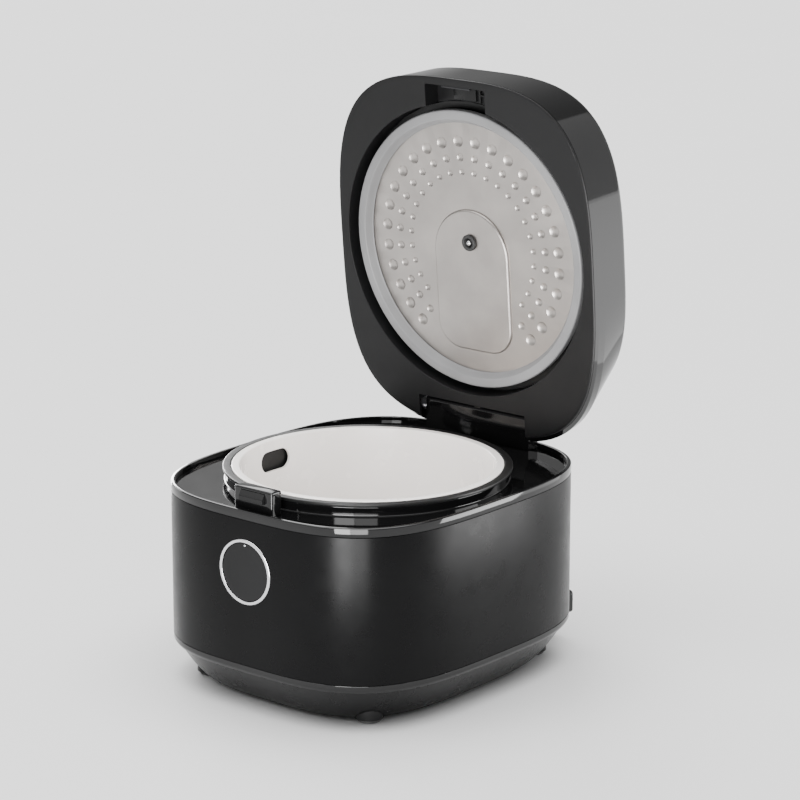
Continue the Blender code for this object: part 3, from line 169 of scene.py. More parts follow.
def loft(rings, closed=True):
    """Joins rings in turn. Open ends get a cap."""
    form = bmesh.new()
    rows = [[form.verts.new(point) for point in ring] for ring in rings]
    pairs = list(zip(rows, rows[1:]))
    if closed:
        pairs.append((rows[-1], rows[0]))
    else:
        form.faces.new(rows[0])
        form.faces.new(rows[-1])
    for lower, upper in pairs:
        for i in range(len(lower)):
            j = (i + 1) % len(lower)
            form.faces.new((lower[i], lower[j], upper[j], upper[i]))
    return form


def along(edge, axis):
    """Whether an edge runs along an axis: 0 for X, 1 for Y and 2 for Z."""
    way = edge.verts[1].co - edge.verts[0].co
    return abs(way.normalized()[axis]) > 0.99


def block(low, high, bevel=EDGE, segments=3, edges=None):
    """A box with rounded edges, or with only the edges that edges() picks rounded."""
    form = bmesh.new()
    bmesh.ops.create_cube(form, size=1.0)
    low, high = Vector(low), Vector(high)
    bmesh.ops.scale(form, vec=high - low, verts=form.verts)
    bmesh.ops.translate(form, vec=(low + high) / 2, verts=form.verts)
    if bevel:
        chosen = [e for e in form.edges if edges is None or edges(e)]
        bmesh.ops.bevel(
            form, geom=chosen, offset=bevel, segments=segments, profile=0.5, affect="EDGES"
        )
    return form


def extruded(points, low, high, axis="X"):
    """A flat outline pushed from low to high along an axis."""
    form = bmesh.new()
    spots = {"X": lambda a, b: (low, a, b), "Z": lambda a, b: (a, b, low)}[axis]
    face = form.faces.new([form.verts.new(spots(a, b)) for a, b in points])
    pushed = bmesh.ops.extrude_face_region(form, geom=[face])["geom"]
    moved = [v for v in pushed if isinstance(v, bmesh.types.BMVert)]
    way = {"X": (high - low, 0.0, 0.0), "Z": (0.0, 0.0, high - low)}[axis]
    bmesh.ops.translate(form, vec=way, verts=moved)
    return form


def turned_to_front(form):
    """Turns a mesh so that its top faces the front."""
    bmesh.ops.rotate(
        form, cent=(0, 0, 0), matrix=Matrix.Rotation(math.pi / 2, 3, "X"), verts=form.verts
    )
    return form


def moved(form, way):
    """Shifts a mesh and hands it back."""
    bmesh.ops.translate(form, vec=way, verts=form.verts)
    return form


def merged(*forms):
    """One mesh that holds several forms."""
    whole = bmesh.new()
    for form in forms:
        bmesh.ops.recalc_face_normals(form, faces=form.faces)
        scrap = bpy.data.meshes.new("scrap")
        form.to_mesh(scrap)
        form.free()
        whole.from_mesh(scrap)
        bpy.data.meshes.remove(scrap)
    return whole


def new_object(name, form):
    """Makes an object of a mesh in the works, and uses it up."""
    mesh = bpy.data.meshes.new(name)
    bmesh.ops.recalc_face_normals(form, faces=form.faces)
    form.to_mesh(mesh)
    form.free()
    obj = bpy.data.objects.new(name, mesh)
    bpy.context.scene.collection.objects.link(obj)
    return obj


def carve(obj, form, operation="DIFFERENCE"):
    """Cuts a form out of an object, or joins it, and keeps the result as plain mesh."""
    tool = new_object("tool", form)
    step = obj.modifiers.new(operation, "BOOLEAN")
    step.operation = operation
    step.object = tool
    step.solver = "EXACT"
    graph = bpy.context.evaluated_depsgraph_get()
    result = bpy.data.meshes.new_from_object(obj.evaluated_get(graph))
    obj.modifiers.clear()
    old = obj.data
    obj.data = result
    result.name = obj.name
    bpy.data.meshes.remove(old)
    bpy.data.objects.remove(tool, do_unlink=True)


def piece(name, form, body, node, look, seat=BODY_SEAT, cuts=(), joins=(), crease=CREASE):
    """A finished piece that rides on a body and stands for a node of the frame."""
    obj = new_object(name, form)
    for extra in joins:
        carve(obj, extra, "UNION")
    for cutter in cuts:
        carve(obj, cutter)
    obj.data.transform(seat)
    obj.data.materials.clear()
    obj.data.materials.append(look)
    obj.data.shade_smooth()
    obj.data.set_sharp_from_angle(angle=math.radians(crease))
    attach(obj, body)
    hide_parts(node)


# ---- Materials ----


class Look:
    """A node material, with short calls for the textures that every surface here needs."""

    def __init__(self, name, colour, roughness, metallic=0.0, specular=0.5):
        self.material = bpy.data.materials.new(name)
        self.material.use_nodes = True
        self.tree = self.material.node_tree
        self.shader = self.tree.nodes["Principled BSDF"]
        self.colour = colour
        self.shader.inputs["Base Color"].default_value = (*colour, 1.0)
        self.shader.inputs["Roughness"].default_value = roughness
        self.shader.inputs["Metallic"].default_value = metallic
        self.shader.inputs["Specular IOR Level"].default_value = specular
        self.place = self.tree.nodes.new("ShaderNodeTexCoord").outputs["Object"]

    def node(self, kind, **values):
        made = self.tree.nodes.new(kind)
        for key, value in values.items():
            setattr(made, key, value)
        return made

    def link(self, start, end):
        self.tree.links.new(start, end)

    def noise(self, size, stretch=(1.0, 1.0, 1.0), detail=3.0):
        """Noise whose features are about size metres across. stretch lengthens them along an axis."""
        mapping = self.node("ShaderNodeMapping")
        mapping.inputs["Scale"].default_value = [1.0 / s for s in stretch]
        self.link(self.place, mapping.inputs["Vector"])
        noise = self.node("ShaderNodeTexNoise")
        noise.inputs["Scale"].default_value = 1.0 / size
        noise.inputs["Detail"].default_value = detail
        self.link(mapping.outputs["Vector"], noise.inputs["Vector"])
        return noise.outputs["Fac"]

    def spread(self, value, low, high, start=0.3, end=0.7):
        """Maps a texture's range onto low to high."""
        spread = self.node("ShaderNodeMapRange")
        spread.inputs["From Min"].default_value = start
        spread.inputs["From Max"].default_value = end
        spread.inputs["To Min"].default_value = low
        spread.inputs["To Max"].default_value = high
        self.link(value, spread.inputs["Value"])
        return spread.outputs["Result"]

    def roughness(self, value, low, high):
        """Lets a texture vary the roughness between low and high."""
        self.link(self.spread(value, low, high), self.shader.inputs["Roughness"])

    def mottle(self, value, other, start=0.35, end=0.65):
        """Blends the base colour with another one by a texture."""
        mix = self.node("ShaderNodeMixRGB")
        mix.inputs["Color1"].default_value = (*self.colour, 1.0)
        mix.inputs["Color2"].default_value = (*other, 1.0)
        self.link(self.spread(value, 0.0, 1.0, start, end), mix.inputs["Fac"])
        self.link(mix.outputs["Color"], self.shader.inputs["Base Color"])

    def bump(self, value, depth):
        """Raises the surface by up to depth metres where the texture is bright."""
        bump = self.node("ShaderNodeBump")
        bump.inputs["Distance"].default_value = depth
        self.link(value, bump.inputs["Height"])
        self.link(bump.outputs["Normal"], self.shader.inputs["Normal"])


def moulded(name, colour, roughness, grain, depth, lighter=1.25, specular=0.5):
    """Plastic or paint: a fine skin texture, faint colour change and handling wear in the gloss."""
    look = Look(name, colour, roughness, specular=specular)
    look.mottle(look.noise(0.06, detail=2.0), [min(c * lighter, 1.0) for c in colour])
    look.roughness(look.noise(0.018, detail=6.0), roughness * 0.86, roughness * 1.16)
    look.bump(look.noise(grain, detail=2.0), depth)
    return look.material


def metal(name, colour, roughness, stretch, grain=0.0004, depth=0.000004):
    """Metal with fine lines along one axis."""
    look = Look(name, colour, roughness, metallic=1.0)
    lines = look.noise(grain, stretch=stretch, detail=4.0)
    look.mottle(look.noise(0.03), [c * 0.9 for c in colour])
    look.roughness(lines, roughness * 0.75, roughness * 1.3)
    look.bump(lines, depth)
    return look.material


def spun_steel(name, colour, roughness, middle):
    """Sheet metal with rings of fine lines round a middle point, and a soft cloudy finish."""
    look = Look(name, colour, roughness, metallic=1.0)
    shift = look.node("ShaderNodeVectorMath", operation="SUBTRACT")
    shift.inputs[1].default_value = middle
    look.link(look.place, shift.inputs[0])
    reach = look.node("ShaderNodeVectorMath", operation="LENGTH")
    look.link(shift.outputs["Vector"], reach.inputs[0])
    rings = look.node("ShaderNodeTexNoise", noise_dimensions="1D")
    rings.inputs["Scale"].default_value = 2600.0
    rings.inputs["Detail"].default_value = 3.0
    look.link(reach.outputs["Value"], rings.inputs["W"])
    look.mottle(look.noise(0.035, detail=4.0), [c * 0.86 for c in colour])
    look.roughness(rings.outputs["Fac"], roughness * 0.85, roughness * 1.2)
    look.bump(rings.outputs["Fac"], 0.000004)
    return look.material


def coated_pot(name):
    """Non-stick coating: satin black with tiny paler flakes."""
    look = Look(name, (0.0045, 0.0045, 0.0045), 0.36, specular=0.26)
    flakes = look.node("ShaderNodeTexVoronoi", feature="F1")
    flakes.inputs["Scale"].default_value = 420.0
    look.link(look.place, flakes.inputs["Vector"])
    look.mottle(flakes.outputs["Distance"], (0.016, 0.016, 0.016), start=0.22, end=0.06)
    look.roughness(look.noise(0.012, detail=5.0), 0.32, 0.42)
    look.bump(look.noise(0.0007, detail=2.0), 0.00002)
    return look.material


def circuit_board(name):
    """Green solder mask with copper tracks under it."""
    look = Look(name, (0.012, 0.085, 0.035), 0.35)
    tracks = look.node("ShaderNodeTexBrick", offset=0.35)
    tracks.inputs["Scale"].default_value = 160.0
    tracks.inputs["Mortar Size"].default_value = 0.03
    look.link(look.place, tracks.inputs["Vector"])
    look.mottle(tracks.outputs["Fac"], (0.03, 0.20, 0.09), start=0.0, end=1.0)
    look.roughness(look.noise(0.004), 0.3, 0.42)
    look.bump(tracks.outputs["Fac"], 0.00003)
    return look.material


PLATE_LOW, PLATE_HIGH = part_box("inner_lid_plate")
LOOKS = {
    "satin_black": moulded(
        "satin_black", (0.0012, 0.0012, 0.0013), 0.29, 0.0005, 0.000012, specular=0.10
    ),
    "gloss_black": moulded(
        "gloss_black", (0.0025, 0.0025, 0.0026), 0.06, 0.006, 0.000006, specular=0.36
    ),
    "matte_dark_grey": moulded(
        "matte_dark_grey", (0.0045, 0.0045, 0.0047), 0.42, 0.0004, 0.00003, specular=0.2
    ),
    "pot_coating": coated_pot("pot_coating"),
    "warm_white": moulded("warm_white", (0.80, 0.765, 0.735), 0.25, 0.008, 0.00002, lighter=1.03),
    "stainless_steel": spun_steel(
        "stainless_steel", (0.40, 0.375, 0.355), 0.36, (PLATE_LOW + PLATE_HIGH) / 2
    ),
    "spring_steel": metal("spring_steel", (0.42, 0.42, 0.43), 0.32, (12.0, 1.0, 1.0)),
    "chrome": metal("chrome", (0.74, 0.74, 0.76), 0.13, (1.0, 8.0, 1.0), depth=0.000001),
    "grey_silicone": moulded("grey_silicone", (0.150, 0.150, 0.152), 0.48, 0.0006, 0.00002),
    "black_rubber": moulded("black_rubber", (0.010, 0.010, 0.010), 0.55, 0.0005, 0.00004),
    "cast_aluminium": metal("cast_aluminium", (0.60, 0.61, 0.62), 0.40, (1.0, 1.0, 1.0), 0.0012),
    "circuit_board": circuit_board("circuit_board"),
    "dark_plastic": moulded(
        "dark_plastic", (0.0035, 0.0035, 0.0036), 0.26, 0.0005, 0.00003, specular=0.22
    ),
    "brass": metal("brass", (0.60, 0.43, 0.18), 0.25, (1.0, 12.0, 1.0)),
    "indicator": moulded("indicator", (0.30, 0.31, 0.32), 0.2, 0.001, 0.00001),
    "button_black": moulded(
        "button_black", (0.0045, 0.0045, 0.0047), 0.24, 0.0005, 0.00001, specular=0.16
    ),
    "dark_steel": metal("dark_steel", (0.045, 0.045, 0.047), 0.4, (12.0, 1.0, 1.0)),
    "bead_steel": metal("bead_steel", (0.75, 0.75, 0.76), 0.12, (1.0, 1.0, 1.0), 0.002),
}


def dress_frame():
    """Every node of the frame takes its slot's material, also those that a piece stands for."""
    for part in frame["record"]["subparts"]:
        node = frame["nodes"][part["node"]]
        node.data.materials.clear()
        node.data.materials.append(LOOKS[part["material_slot"]])
        node.data.shade_smooth()
        node.data.set_sharp_from_angle(angle=math.radians(CREASE))


# ---- Body ----

RIM_LOW, RIM_HIGH = seat_box("rim_band", BODY_SEAT)
DECK_HIGH = seat_box("top_deck", BODY_SEAT)[1]
BAND_LOW, BAND_HIGH = seat_box("base_band", BODY_SEAT)
PAN_LOW, PAN_HIGH = seat_box("base_pan", BODY_SEAT)
RING_LOW, RING_HIGH = seat_box("button_ring", BODY_SEAT)
POT_LOW, POT_HIGH = seat_box("inner_pot", BODY_SEAT)
BASKET_LOW, BASKET_HIGH = seat_box("steam_basket", BODY_SEAT)
LATCH_LOW, LATCH_HIGH = seat_box("latch_housing", BODY_SEAT)
INLET_LOW, INLET_HIGH = seat_box("rear_inlet", BODY_SEAT)
POT_Y = (POT_LOW.y + POT_HIGH.y) / 2
RIM_TOP = RIM_HIGH.z
RIM_WIDTH = 0.0033
DECK_TOP = RIM_TOP - 0.004
DECK_UNDER = DECK_TOP - 0.0025
SHELL_WALL = 0.0022
BASE_WALL = 0.0025
RING_RADIUS = RING_HIGH.x
RING_WIDTH = 0.0026
BUTTON_Z = (RING_LOW.z + RING_HIGH.z) / 2


def rod(radius, low, high, middle, steps=TURN_STEPS):
    """A plain round cutter along Z."""
    profile = [(0.0, high), (radius, high), (radius, low), (0.0, low)]
    return moved(turned(profile, steps, closed=False), (*middle, 0.0))


def front_rod(radius, near, far, height, steps=TURN_STEPS):
    """A round cutter along Y, at a height in the middle of the front."""
    form = turned_to_front(turned(
        [(0.0, -near), (radius, -near), (radius, -far), (0.0, -far)], steps, closed=False
    ))
    return moved(form, (0.0, 0.0, height))


def inlet_cutter():
    """The inlet's own space, with its gap, to cut out of what is round it."""
    grow = Vector((GAP, 0.02, GAP))
    return block(
        INLET_LOW - grow, INLET_HIGH + grow, 0.003, 4, edges=lambda e: along(e, 1)
    )


def banded(profile):
    """A closed ring round the body from (inset, height) points."""
    return loft([outline(inset, z) for inset, z in fillet(profile, BAND_EDGE)])


def make_shell():
    """The upright skin of the body, with openings for the button's ring and the inlet."""
    low, high = SHELL_LOW.z, SHELL_HIGH.z
    profile = [(0.0, low), (0.0, high), (SHELL_WALL, high), (SHELL_WALL, low)]
    hole = front_rod(RING_RADIUS + GAP, -HALF_DEPTH - 0.01, -HALF_DEPTH + 0.012, BUTTON_Z)
    piece(
        "shell_skin", banded(profile), "cooker_body", "outer_shell",
        LOOKS["satin_black"], cuts=[hole, inlet_cutter()],
    )


def make_bands():
    """The gloss bands above and below the shell."""
    low, top = RIM_LOW.z, RIM_TOP
    profile = [
        (0.0, low), (0.0, top, 0.0016), (RIM_WIDTH, top, 0.0008), (RIM_WIDTH, low),
    ]
    piece(
        "rim_trim", banded(profile), "cooker_body", "rim_band", LOOKS["gloss_black"]
    )
    low, high = BAND_LOW.z, BAND_HIGH.z
    profile = [
        (0.0, high), (RIM_WIDTH, high), (RIM_WIDTH, low), (0.0012, low, 0.0012),
        (0.0, low + 0.0025, 0.002),
    ]
    piece(
        "base_trim", banded(profile), "cooker_body", "base_band",
        LOOKS["gloss_black"], cuts=[inlet_cutter()],
    )


def pan_curve(wall=0.0):
    """(inset, height) points down the base's curved side, moved inwards by wall."""
    steps = 14
    tuck, low, seam, top = 0.026, PAN_LOW.z, SHELL_LOW.z, PAN_HIGH.z
    start = 1 - ((top - low) / (seam - low)) ** (2 / 3)
    points = []
    for i in range(steps + 1):
        share = start + (1 - start) * i / steps
        z = low + (seam - low) * (1 - share) ** 1.5 + wall * share
        points.append((tuck * share + wall * (1.3 - 0.9 * share), min(z, top)))
    return points


def make_base():
    """The base pan, with a boss and a pocket for each foot."""
    outer, inner = pan_curve(), pan_curve(BASE_WALL)
    rings = [outline(inset, z) for inset, z in reversed(outer)]
    rings += [outline(inset, z) for inset, z in inner]
    bosses, pockets = [], []
    for row in ("front", "rear"):
        for side in ("left", "right"):
            low, high = seat_box(f"foot_{row}_{side}", BODY_SEAT)
            middle = ((low.x + high.x) / 2, (low.y + high.y) / 2)
            radius = (high.x - low.x) / 2
            bosses.append(rod(radius + 0.0019, PAN_LOW.z + 0.0003, 0.0275, middle, 64))
            pockets.append(rod(radius + GAP, -0.002, high.z + GAP, middle, 64))
            make_foot(f"foot_{row}_{side}", radius, low.z, high.z, middle)
    piece(
        "base_skin", loft(rings, closed=False), "cooker_body", "base_pan",
        LOOKS["dark_plastic"], cuts=[inlet_cutter(), *pockets], joins=bosses,
    )


def make_foot(node, radius, low, high, middle):
    """A rubber foot with a rounded edge and a shallow ring in its sole."""
    groove = radius * 0.62
    profile = fillet([
        (0.0, high, 0.0), (radius, high), (radius, low, 0.0014), (groove + 0.0008, low),
        (groove + 0.0004, low + 0.0006), (groove - 0.0004, low + 0.0006), (groove - 0.0008, low),
        (0.0, low, 0.0),
    ], 0.0003, closed=False)
    form = moved(turned(profile, 72, closed=False), (*middle, 0.0))
    piece(f"{node}_pad", form, "cooker_body", node, LOOKS["black_rubber"])


COLLAR_HOLE = 0.1086
COLLAR_WIDTH = 0.0042


def make_deck():
    """The deck round the pot, with its raised collar and the latch's slot."""
    inset = RIM_WIDTH + GAP
    top, low, collar_top = DECK_TOP, DECK_UNDER, DECK_HIGH.z
    outer = COLLAR_HOLE + COLLAR_WIDTH
    middle = (0.0, POT_Y)
    plan = [(inset, low, 0.0), (inset, top, 0.0005)]
    rings = [outline(a, z) for a, z in fillet(plan, closed=False)]
    rings.append(outline(inset + 0.0006, top))
    round_part = fillet([
        (outer + 0.0032, top, 0.0), (outer, top, 0.0016), (outer, collar_top, 0.0007),
        (COLLAR_HOLE, collar_top, 0.0007), (COLLAR_HOLE, low, 0.0),
    ], steps=4, closed=False)
    rings += [circle(radius, z, middle) for radius, z in round_part]
    slot_low, slot_high = seat_box("release_lever", BODY_SEAT)
    slot = block(
        (slot_low.x - 0.001, slot_low.y - 0.0005, low - 0.01),
        (slot_high.x + 0.001, LATCH_HIGH.y - 0.0012, top + 0.002), 0.0,
    )
    piece(
        "deck_plate", loft(rings), "cooker_body", "top_deck", LOOKS["gloss_black"],
        cuts=[slot],
    )


# ---- Pot and basket ----

POT_WALL_RADIUS = 0.1065
POT_WALL = 0.002
FLANGE = 0.0027


def make_pot():
    """The pot, with a flange round its rim and a step inside it for the basket."""
    rim, top, floor = POT_HIGH.x, POT_HIGH.z, POT_LOW.z
    inner = POT_WALL_RADIUS - POT_WALL
    step = inner + (rim - inner) * 0.42
    profile = fillet([
        (0.0, floor + POT_WALL, 0.0), (inner, floor + POT_WALL, 0.016),
        (inner, top - 0.0018, 0.0006), (step, top - 0.0018, 0.0003), (step, top, 0.0005),
        (rim, top, 0.0009), (rim, top - FLANGE, 0.0009),
        (POT_WALL_RADIUS, top - FLANGE, 0.0018), (POT_WALL_RADIUS, floor, 0.018),
        (0.0, floor, 0.0),
    ], steps=8, closed=False)
    form = moved(turned(profile, 192, closed=False), (0.0, POT_Y, 0.0))
    piece("pot_body", form, "pot", "inner_pot", LOOKS["pot_coating"])


BASKET_WALL = 0.0019
BASKET_LIP = 0.0018
BASKET_RADIUS = 0.1036
BASKET_TAPER = 0.946
HOLE_SIZE = Vector((0.034, 0.0165))
HOLE_DROP = 0.0069
TAB_ANGLES = (0, 45, 135, 180, 225, 315)
TAB_WIDTH = 0.0135
TAB_HEIGHT = 0.010
TAB_PROUD = 0.0005
DRAIN_RADIUS = 0.0028
DRAIN_RINGS = ((0.032, 6), (0.064, 12))  # radius and number of holes


def stadium(width, height, middle=(0.0, 0.0)):
    """A flat outline with round ends, wider than it is tall."""
    steps = 20
    radius = height / 2
    reach = width / 2 - radius
    points = []
    for side in (1, -1):
        for i in range(steps + 1):
            angle = -math.pi / 2 + math.pi * i / steps
            across = side * (reach + radius * math.cos(angle))
            points.append((middle[0] + across, middle[1] + side * radius * math.sin(angle)))
    return points


def make_basket():
    """The steaming basket: a tapered bowl with a lip, hand holes, tabs and drain holes."""
    floor, top, rim = BASKET_LOW.z, BASKET_HIGH.z, BASKET_HIGH.x
    base = BASKET_RADIUS * BASKET_TAPER
    lip = top - BASKET_LIP
    profile = fillet([
        (0.0, floor + BASKET_WALL, 0.0), (base - BASKET_WALL, floor + BASKET_WALL, 0.0085),
        (BASKET_RADIUS - BASKET_WALL, top, 0.0012), (rim, top, 0.0007), (rim, lip, 0.0006),
        (BASKET_RADIUS, lip, 0.0006), (base, floor, 0.010), (0.0, floor, 0.0),
    ], steps=8, closed=False)
    form = turned(profile, 192, closed=False)
    hole_z = lip - HOLE_DROP - HOLE_SIZE.y / 2
    hands = extruded(stadium(HOLE_SIZE.x, HOLE_SIZE.y, (0.0, hole_z)), -rim - 0.01, rim + 0.01)
    drains = merged(*(
        rod(DRAIN_RADIUS, floor - 0.01, floor + 0.01, spot, 24) for spot in drain_places()
    ))
    shift = Matrix.Translation((0.0, POT_Y, 0.0))
    piece(
        "basket_body", form, "basket", "steam_basket", LOOKS["warm_white"],
        seat=BODY_SEAT @ shift, cuts=[hands, drains],
        joins=[basket_tab(angle, lip) for angle in TAB_ANGLES],
    )


def drain_places():
    """The middle of each drain hole, in plan."""
    places = [(0.0, 0.0)]
    for ring, count in DRAIN_RINGS:
        for i in range(count):
            angle = 2 * math.pi * i / count
            places.append((ring * math.cos(angle), ring * math.sin(angle)))
    return places


def basket_tab(degrees, lip):
    """A short rib under the lip, with a round lower end."""
    reach = TAB_WIDTH / 2
    points = fillet([
        (-reach, lip + 0.0005, 0.0), (reach, lip + 0.0005, 0.0),
        (reach, lip - TAB_HEIGHT, 0.0028), (-reach, lip - TAB_HEIGHT, 0.0028),
    ], steps=6)
    face = BASKET_RADIUS + TAB_PROUD
    form = extruded([(y, z) for y, z in points], face - BASKET_WALL * 1.2, face)
    turn = Matrix.Rotation(math.radians(degrees - 90), 3, "Z")
    bmesh.ops.rotate(form, cent=(0, 0, 0), matrix=turn, verts=form.verts)
    return form


# ---- Button and latch ----


def make_button():
    """The chrome ring, the button inside it and the indicator in the button."""
    front = -HALF_DEPTH
    proud = front - RING_LOW.y
    inner = RING_RADIUS - RING_WIDTH
    ring = turned_to_front(turned(fillet([
        (RING_RADIUS, -0.004, 0.0002), (inner, -0.004, 0.0002),
        (inner, proud, 0.0005), (RING_RADIUS, proud, 0.0009),
    ], steps=5)))
    piece(
        "ring_trim", moved(ring, (0.0, front, BUTTON_Z)), "cooker_body", "button_ring",
        LOOKS["chrome"],
    )
    face = inner - GAP
    low, high = seat_box("front_button", BODY_SEAT)
    stem = 0.004
    button = turned_to_front(turned(fillet([
        (0.0, -0.0003, 0.0), (face * 0.8, -0.0001, 0.01), (face, 0.0, 0.0005),
        (face, -0.0028, 0.0002), (stem, -0.0028, 0.0002), (stem, low.y - high.y, 0.0004),
        (0.0, low.y - high.y, 0.0),
    ], steps=5, closed=False), closed=False))
    lens_low, lens_high = seat_box("indicator_lens", BODY_SEAT)
    lens_z = (lens_low.z + lens_high.z) / 2
    lens_radius = (lens_high.x - lens_low.x) / 2
    hole = front_rod(lens_radius + GAP, front - 0.001, front + 0.0019, lens_z, 48)
    piece(
        "button_cap", moved(button, (0.0, front, BUTTON_Z)), "button", "front_button",
        LOOKS["button_black"], cuts=[hole],
    )
    lens = turned_to_front(turned(fillet([
        (0.0, 0.0, 0.0), (lens_radius, 0.0, 0.0003), (lens_radius, -0.0009, 0.0001),
        (0.0, -0.0009, 0.0),
    ], closed=False), 48, closed=False))
    piece(
        "indicator_dot", moved(lens, (0.0, lens_low.y, lens_z)), "button", "indicator_lens",
        LOOKS["indicator"],
    )


def make_latch():
    """The latch block on the deck, and the tongue that comes out of its window."""
    low, high = LATCH_LOW, LATCH_HIGH
    wall = 0.0012
    bolt_low, bolt_high = seat_box("latch_bolt", BODY_SEAT)
    inside = block(
        (low.x + wall, low.y + wall, low.z - 0.005), (high.x - wall, high.y - wall, high.z - wall),
        0.0,
    )
    window = block(
        (bolt_low.x - 0.0004, low.y - 0.002, bolt_low.z - 0.0004),
        (bolt_high.x + 0.0004, low.y + wall + 0.001, bolt_high.z + 0.0004), 0.0,
    )
    shell = block(low, high, 0.0014, 4, edges=lambda e: max(v.co.z for v in e.verts) > low.z + 0.001)
    piece(
        "latch_block", shell, "cooker_body", "latch_housing", LOOKS["gloss_black"],
        cuts=[inside, window],
    )
    tip, rear = bolt_low.y, bolt_high.y
    height = bolt_high.z - bolt_low.z
    slope = fillet([
        (rear, bolt_low.z), (rear, bolt_high.z), (low.y - 0.0002, bolt_high.z, 0.0008),
        (tip, bolt_low.z + height * 0.45, 0.0008), (tip, bolt_low.z),
    ], 0.0004)
    form = extruded(slope, bolt_low.x, bolt_high.x)
    piece("latch_tongue", form, "bolt", "latch_bolt", LOOKS["dark_plastic"])


# ---- Hinge and mains inlet ----


PIN_HOLE_RADIUS = 0.0028


def pin_hole():
    """A round cutter along the hinge's axis, past both ends of its pin."""
    low, high = seat_box("hinge_pin", BODY_SEAT)
    ends = high.x + 0.02, low.x - 0.02
    hole = turned(
        [(0.0, ends[0]), (PIN_HOLE_RADIUS, ends[0]), (PIN_HOLE_RADIUS, ends[1]), (0.0, ends[1])],
        48, closed=False,
    )
    turn = Matrix.Rotation(math.pi / 2, 3, "Y")
    bmesh.ops.rotate(hole, cent=(0, 0, 0), matrix=turn, verts=hole.verts)
    return moved(hole, (0.0, HINGE.y - MIDDLE_Y, HINGE.z))


def make_hinge():
    """The hollow cover over the hinge, with a rib across its middle."""
    low, high = seat_box("hinge_housing", BODY_SEAT)
    wall = 0.0015

    def upper(edge):
        return along(edge, 0) and edge.verts[0].co.z > (low.z + high.z) / 2

    cover = new_object("hinge_cover", block(low, high, 0.0035, 6, edges=upper))
    carve(cover, block(
        (low.x + wall, low.y + wall, low.z - 0.01), (high.x - wall, high.y - wall, high.z - wall),
        0.0022, 4, edges=upper,
    ))
    carve(cover, block(
        (-0.003, low.y + wall / 2, low.z + 0.001), (0.003, high.y - wall / 2, high.z - wall / 2),
        0.0,
    ), "UNION")
    carve(cover, pin_hole())
    form = bmesh.new()
    form.from_mesh(cover.data)
    bpy.data.objects.remove(cover, do_unlink=True)
    piece("hinge_cover", form, "cooker_body", "hinge_housing", LOOKS["gloss_black"])


def make_inlet():
    """The mains inlet's block, with a deep socket round its blades."""
    low, high = INLET_LOW, INLET_HIGH
    wall, depth = 0.0035, 0.0155
    form = block(low, high, 0.003, 6, edges=lambda e: along(e, 1))
    socket = block(
        (low.x + wall, high.y - depth, low.z + wall), (high.x - wall, high.y + 0.01, high.z - wall),
        0.0025, 6, edges=lambda e: along(e, 1),
    )
    lip = block(
        (low.x + wall - 0.0008, high.y - 0.0008, low.z + wall - 0.0008),
        (high.x - wall + 0.0008, high.y + 0.01, high.z - wall + 0.0008),
        0.0032, 6, edges=lambda e: along(e, 1),
    )
    piece(
        "inlet_socket", form, "cooker_body", "rear_inlet", LOOKS["dark_plastic"],
        cuts=[socket, lip],
    )


# ---- Lid ----

FRAME_LOW, FRAME_HIGH = seat_box("lid_frame", LID_SEAT)
PLATE_BOX = seat_box("inner_lid_plate", LID_SEAT)
GASKET_BOX = seat_box("inner_lid_gasket", LID_SEAT)
SHIELD_BOX = seat_box("lid_heat_shield", LID_SEAT)
CATCH_BOX = seat_box("latch_catch", LID_SEAT)
LID_LOW = FRAME_LOW.z
LID_TOP = seat_box("lid_outer_shell", LID_SEAT)[1].z - 0.00005  # just under the CAD's top
SEAM_Z = LID_LOW + 0.0022
LID_ROUND = 0.008
LID_SHOULDER = LID_TOP - LID_ROUND
LID_DRAFT = 0.0701
LID_WALL = 0.0025
SKIN_INSET = 0.00004  # keeps the lid's skin inside the CAD's box
HEEL_TOP = LID_LOW + 0.007
SLOPE_LOW = HEEL_TOP + 0.0095
REAR_SLOPE = 0.8767
NOTCH_HALF = 0.0555
NOTCH_FRONT = HINGE.y - MIDDLE_Y - 0.014
NOTCH_TOP = HINGE.z + 0.016
WELL_RADIUS = SHIELD_BOX[1].x + GAP
WELL_Y = (PLATE_BOX[0].y + PLATE_BOX[1].y) / 2
RECESS_HALF = 0.0305
RECESS_FRONT = CATCH_BOX[0].y - GAP
RECESS_TOP = CATCH_BOX[1].z + GAP


def rear_inset(z):
    """How far the rear of the closed lid draws in: a heel, an upright wall, then a slope."""
    if z < HEEL_TOP:
        return HEEL_TOP - z
    return REAR_SLOPE * max(z - SLOPE_LOW, 0.0)


def draft(z):
    """How far the lid's sides have leaned in at a height."""
    return LID_DRAFT * (z - SEAM_Z)


def notch():
    """The space at the lid's rear that the hinge housing stands in."""
    return block(
        (-NOTCH_HALF, NOTCH_FRONT, LID_LOW - 0.01), (NOTCH_HALF, HALF_DEPTH + 0.01, NOTCH_TOP), 0.0
    )


